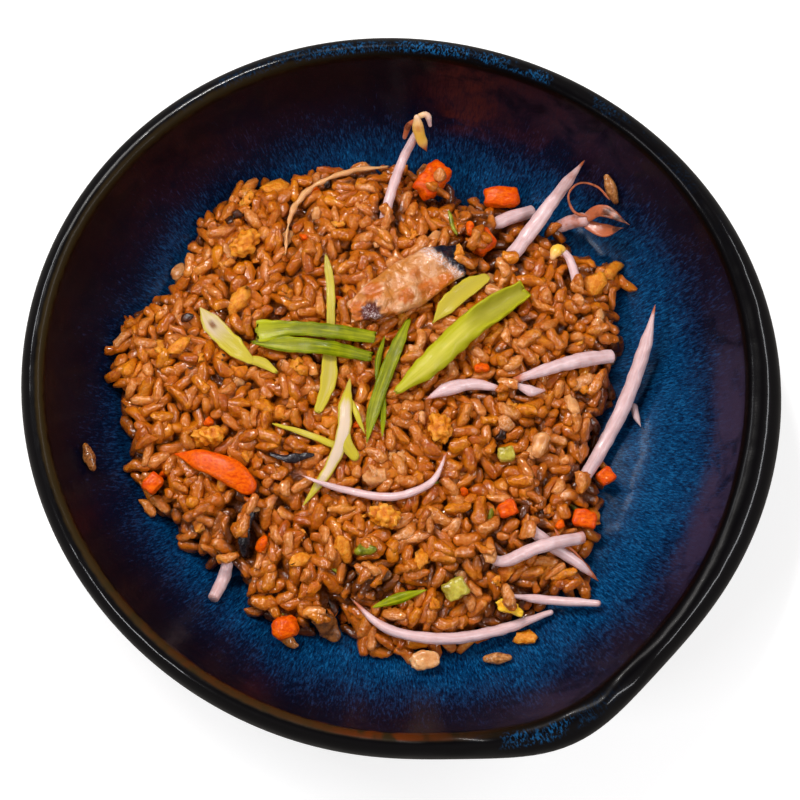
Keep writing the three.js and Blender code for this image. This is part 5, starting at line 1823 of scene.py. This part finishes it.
    def build(self, table: Table) -> None:
        """Makes the core, drops the grains and strews them."""
        curd = EggFinish().material()
        EggCrumbs().build(table, curd)
        bed = GrainBed(self.heap)
        bed.keep_out(table.laid)
        for x, y, radius in self.holes:
            bed.hollow(x, y, radius)
        for x, y, radius in self.buried:
            bed.open_over(x, y, radius)
        finishes = {
            Bit.PALE: RiceFinish("rice_pale", tint(174, 86, 2), tint(202, 128, 62), tint(234, 186, 150)),
            Bit.TAN: RiceFinish("rice_tan", tint(156, 68, 0), tint(186, 102, 12), tint(222, 152, 92)),
            Bit.AMBER: RiceFinish("rice_amber", tint(164, 76, 0), tint(200, 114, 0), tint(230, 154, 44)),
            Bit.CHAR: PlainFood("charred_bit", tint(22, 10, 6), tint(78, 36, 14), 0.35),
            Bit.CARROT: CarrotFinish(),
            Bit.ONION: PlainFood("clear_bit", tint(186, 112, 52), tint(222, 164, 108), 0.2, 0.5, 3.0),
            Bit.GREEN: PlainFood("green_bit", tint(92, 96, 10), tint(150, 150, 36), 0.3, 0.3, 2.0),
        }
        clouds = self.drop(bed)
        bed.level_off()
        paste = RiceFinish(
            "rice_paste", tint(150, 66, 0), tint(182, 94, 0), tint(210, 132, 40), relief=0.7, coat=0.3
        ).material()
        in_place(self.core_skin(bed).as_object("rice_core", paste, self.heap.place), "rice", "rice_heap")
        for bit, cloud in clouds.items():
            dressed = curd if bit is Bit.EGG else finishes[bit].material()
            Strewing(bit, BITS[bit]).strew(cloud, dressed, bed)


@dataclass
class LooseGrains:
    """Three grains on the glaze, away from the heap."""

    grains: tuple[tuple[float, float, float], ...] = (
        (-85.2, -14.5, 1.9), (58.8, 61.6, 2.0), (26.4, -68.4, 0.05),
    )
    half_length: float = 4.0

    def build(self, table: Table) -> None:
        """Makes the grains."""
        deep, body, pale = tint(96, 46, 12), tint(176, 112, 56), tint(216, 160, 108)
        finish = RiceFinish("rice_loose", deep, body, pale).material()
        for number, (x, y, yaw) in enumerate(self.grains, 1):
            dx, dy = math.cos(yaw) * self.half_length, math.sin(yaw) * self.half_length
            points = ((x - dx, y - dy, 0), (x, y, 0), (x + dx, y + dy, 0))
            run = Run(points, (0.9, 1.7, 0.8), seed=700 + number)
            patch = run.skin(table.heap)
            patch.marks["tone"] = np.full(len(patch.corners), 0.35 + 0.15 * number)
            table.lay(f"loose_rice_{number}", patch, finish, "rice", f"loose_grain_{number}")


@dataclass(frozen=True)
class SoftLight:
    """A square or oblong soft light, aimed at the food."""

    name: str
    azimuth: float
    tilt: float
    away: float
    wide: float
    tall: float
    power: float
    warmth: Colour = (1.0, 1.0, 1.0, 1.0)

    def build(self, aim: Vector) -> None:
        """Hangs the light: its azimuth is from +X, its tilt from straight up, both in degrees."""
        light = bpy.data.lights.new(self.name, "AREA")
        light.shape, light.size, light.size_y = "RECTANGLE", self.wide * MM, self.tall * MM
        light.energy, light.color = self.power, self.warmth[:3]
        lamp = linked(self.name, light)
        tilt, azimuth = math.radians(self.tilt), math.radians(self.azimuth)
        flat = math.sin(tilt)
        back = Vector((flat * math.cos(azimuth), flat * math.sin(azimuth), math.cos(tilt)))
        lamp.location = aim + back * self.away * MM
        lamp.rotation_mode = "QUATERNION"
        lamp.rotation_quaternion = back.to_track_quat("Z", "X")


@dataclass
class Studio:
    """Plain pale floor, soft lights and the camera."""

    elevation: float = 80.0
    distance: float = 600.0
    aim: tuple[float, float, float] = (0.0, -2.6, 40.0)
    lens: float = 100.0
    shift: tuple[float, float] = (-0.0016, -0.0015)
    floor_reach: float = 3000.0
    lights: tuple[SoftLight, ...] = (
        SoftLight("key", 125, 34, 1100, 380, 380, 4.8, (1.0, 0.97, 0.94, 1)),
        SoftLight("glint", 112, 30, 1100, 80, 80, 3.6, (1.0, 0.98, 0.96, 1)),
        SoftLight("right_window", -2, 44, 1100, 110, 1100, 5.5, (0.95, 0.96, 1.0, 1)),
        SoftLight("front_left_window", 212, 46, 1100, 110, 320, 3.0, (0.95, 0.96, 1.0, 1)),
        SoftLight("back_left_window", 153, 46, 1100, 110, 320, 2.5, (0.95, 0.96, 1.0, 1)),
    )

    def floor(self) -> None:
        """A wide pale floor, level with the foot."""
        corners = self.floor_reach * np.array([[-1, -1, 0], [1, -1, 0], [1, 1, 0], [-1, 1, 0]])
        s = Shader("pale_floor")
        grey = s.mix(s.noise(60, detail=2), tint(196, 196, 196), tint(200, 200, 200))
        white = s.finished(grey, 0.95, 0.0, Emission_Color=(1.0, 1.0, 1.0, 1.0), Emission_Strength=0.62)
        floor = Patch(corners, [(0, 1, 2, 3)]).as_object("floor", white)
        floor.visible_glossy = False

    def camera(self) -> None:
        """The camera, at the photograph's viewing angle."""
        tilt = math.radians(self.elevation)
        back = Vector((0, -math.cos(tilt), math.sin(tilt)))
        data = bpy.data.cameras.new("camera")
        data.lens, data.sensor_width = self.lens, 36.0
        data.shift_x, data.shift_y = self.shift
        data.clip_start, data.clip_end = 0.01, 20.0
        camera = linked("camera", data)
        camera.location = (Vector(self.aim) + back * self.distance) * MM
        camera.rotation_mode = "QUATERNION"
        camera.rotation_quaternion = back.to_track_quat("Z", "Y")
        bpy.context.scene.camera = camera

    def build(self) -> None:
        """Sets the floor, the lights, the sky and the camera."""
        self.floor()
        for light in self.lights:
            light.build(Vector(self.aim) * MM)
        sky = bpy.data.worlds.new("studio_sky")
        sky.use_nodes = True
        sky.node_tree.nodes["Background"].inputs["Color"].default_value = (1.0, 0.94, 0.88, 1)
        sky.node_tree.nodes["Background"].inputs["Strength"].default_value = 0.27
        bpy.context.scene.world = sky
        bpy.context.scene.view_settings.view_transform = "Standard"
        bpy.context.scene.view_settings.look = "None"
        self.camera()


def main() -> None:
    """Loads the frame and builds the bowl, the toppings, the rice and the studio."""
    logging.basicConfig(level=logging.INFO, format="%(name)s: %(message)s")
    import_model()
    heap = HeapForm()
    table = Table(heap)
    Bowl(heap.bowl).build()
    Sprouts().build(table)
    SpringOnions().build(table)
    MeatFlake().build(table)
    Carrots().build(table)
    DarkPieces().build(table)
    OnionBits().build(table)
    LooseGrains().build(table)
    RiceHeap(heap).build(table)
    Studio().build()


if __name__ == "__main__":
    main()
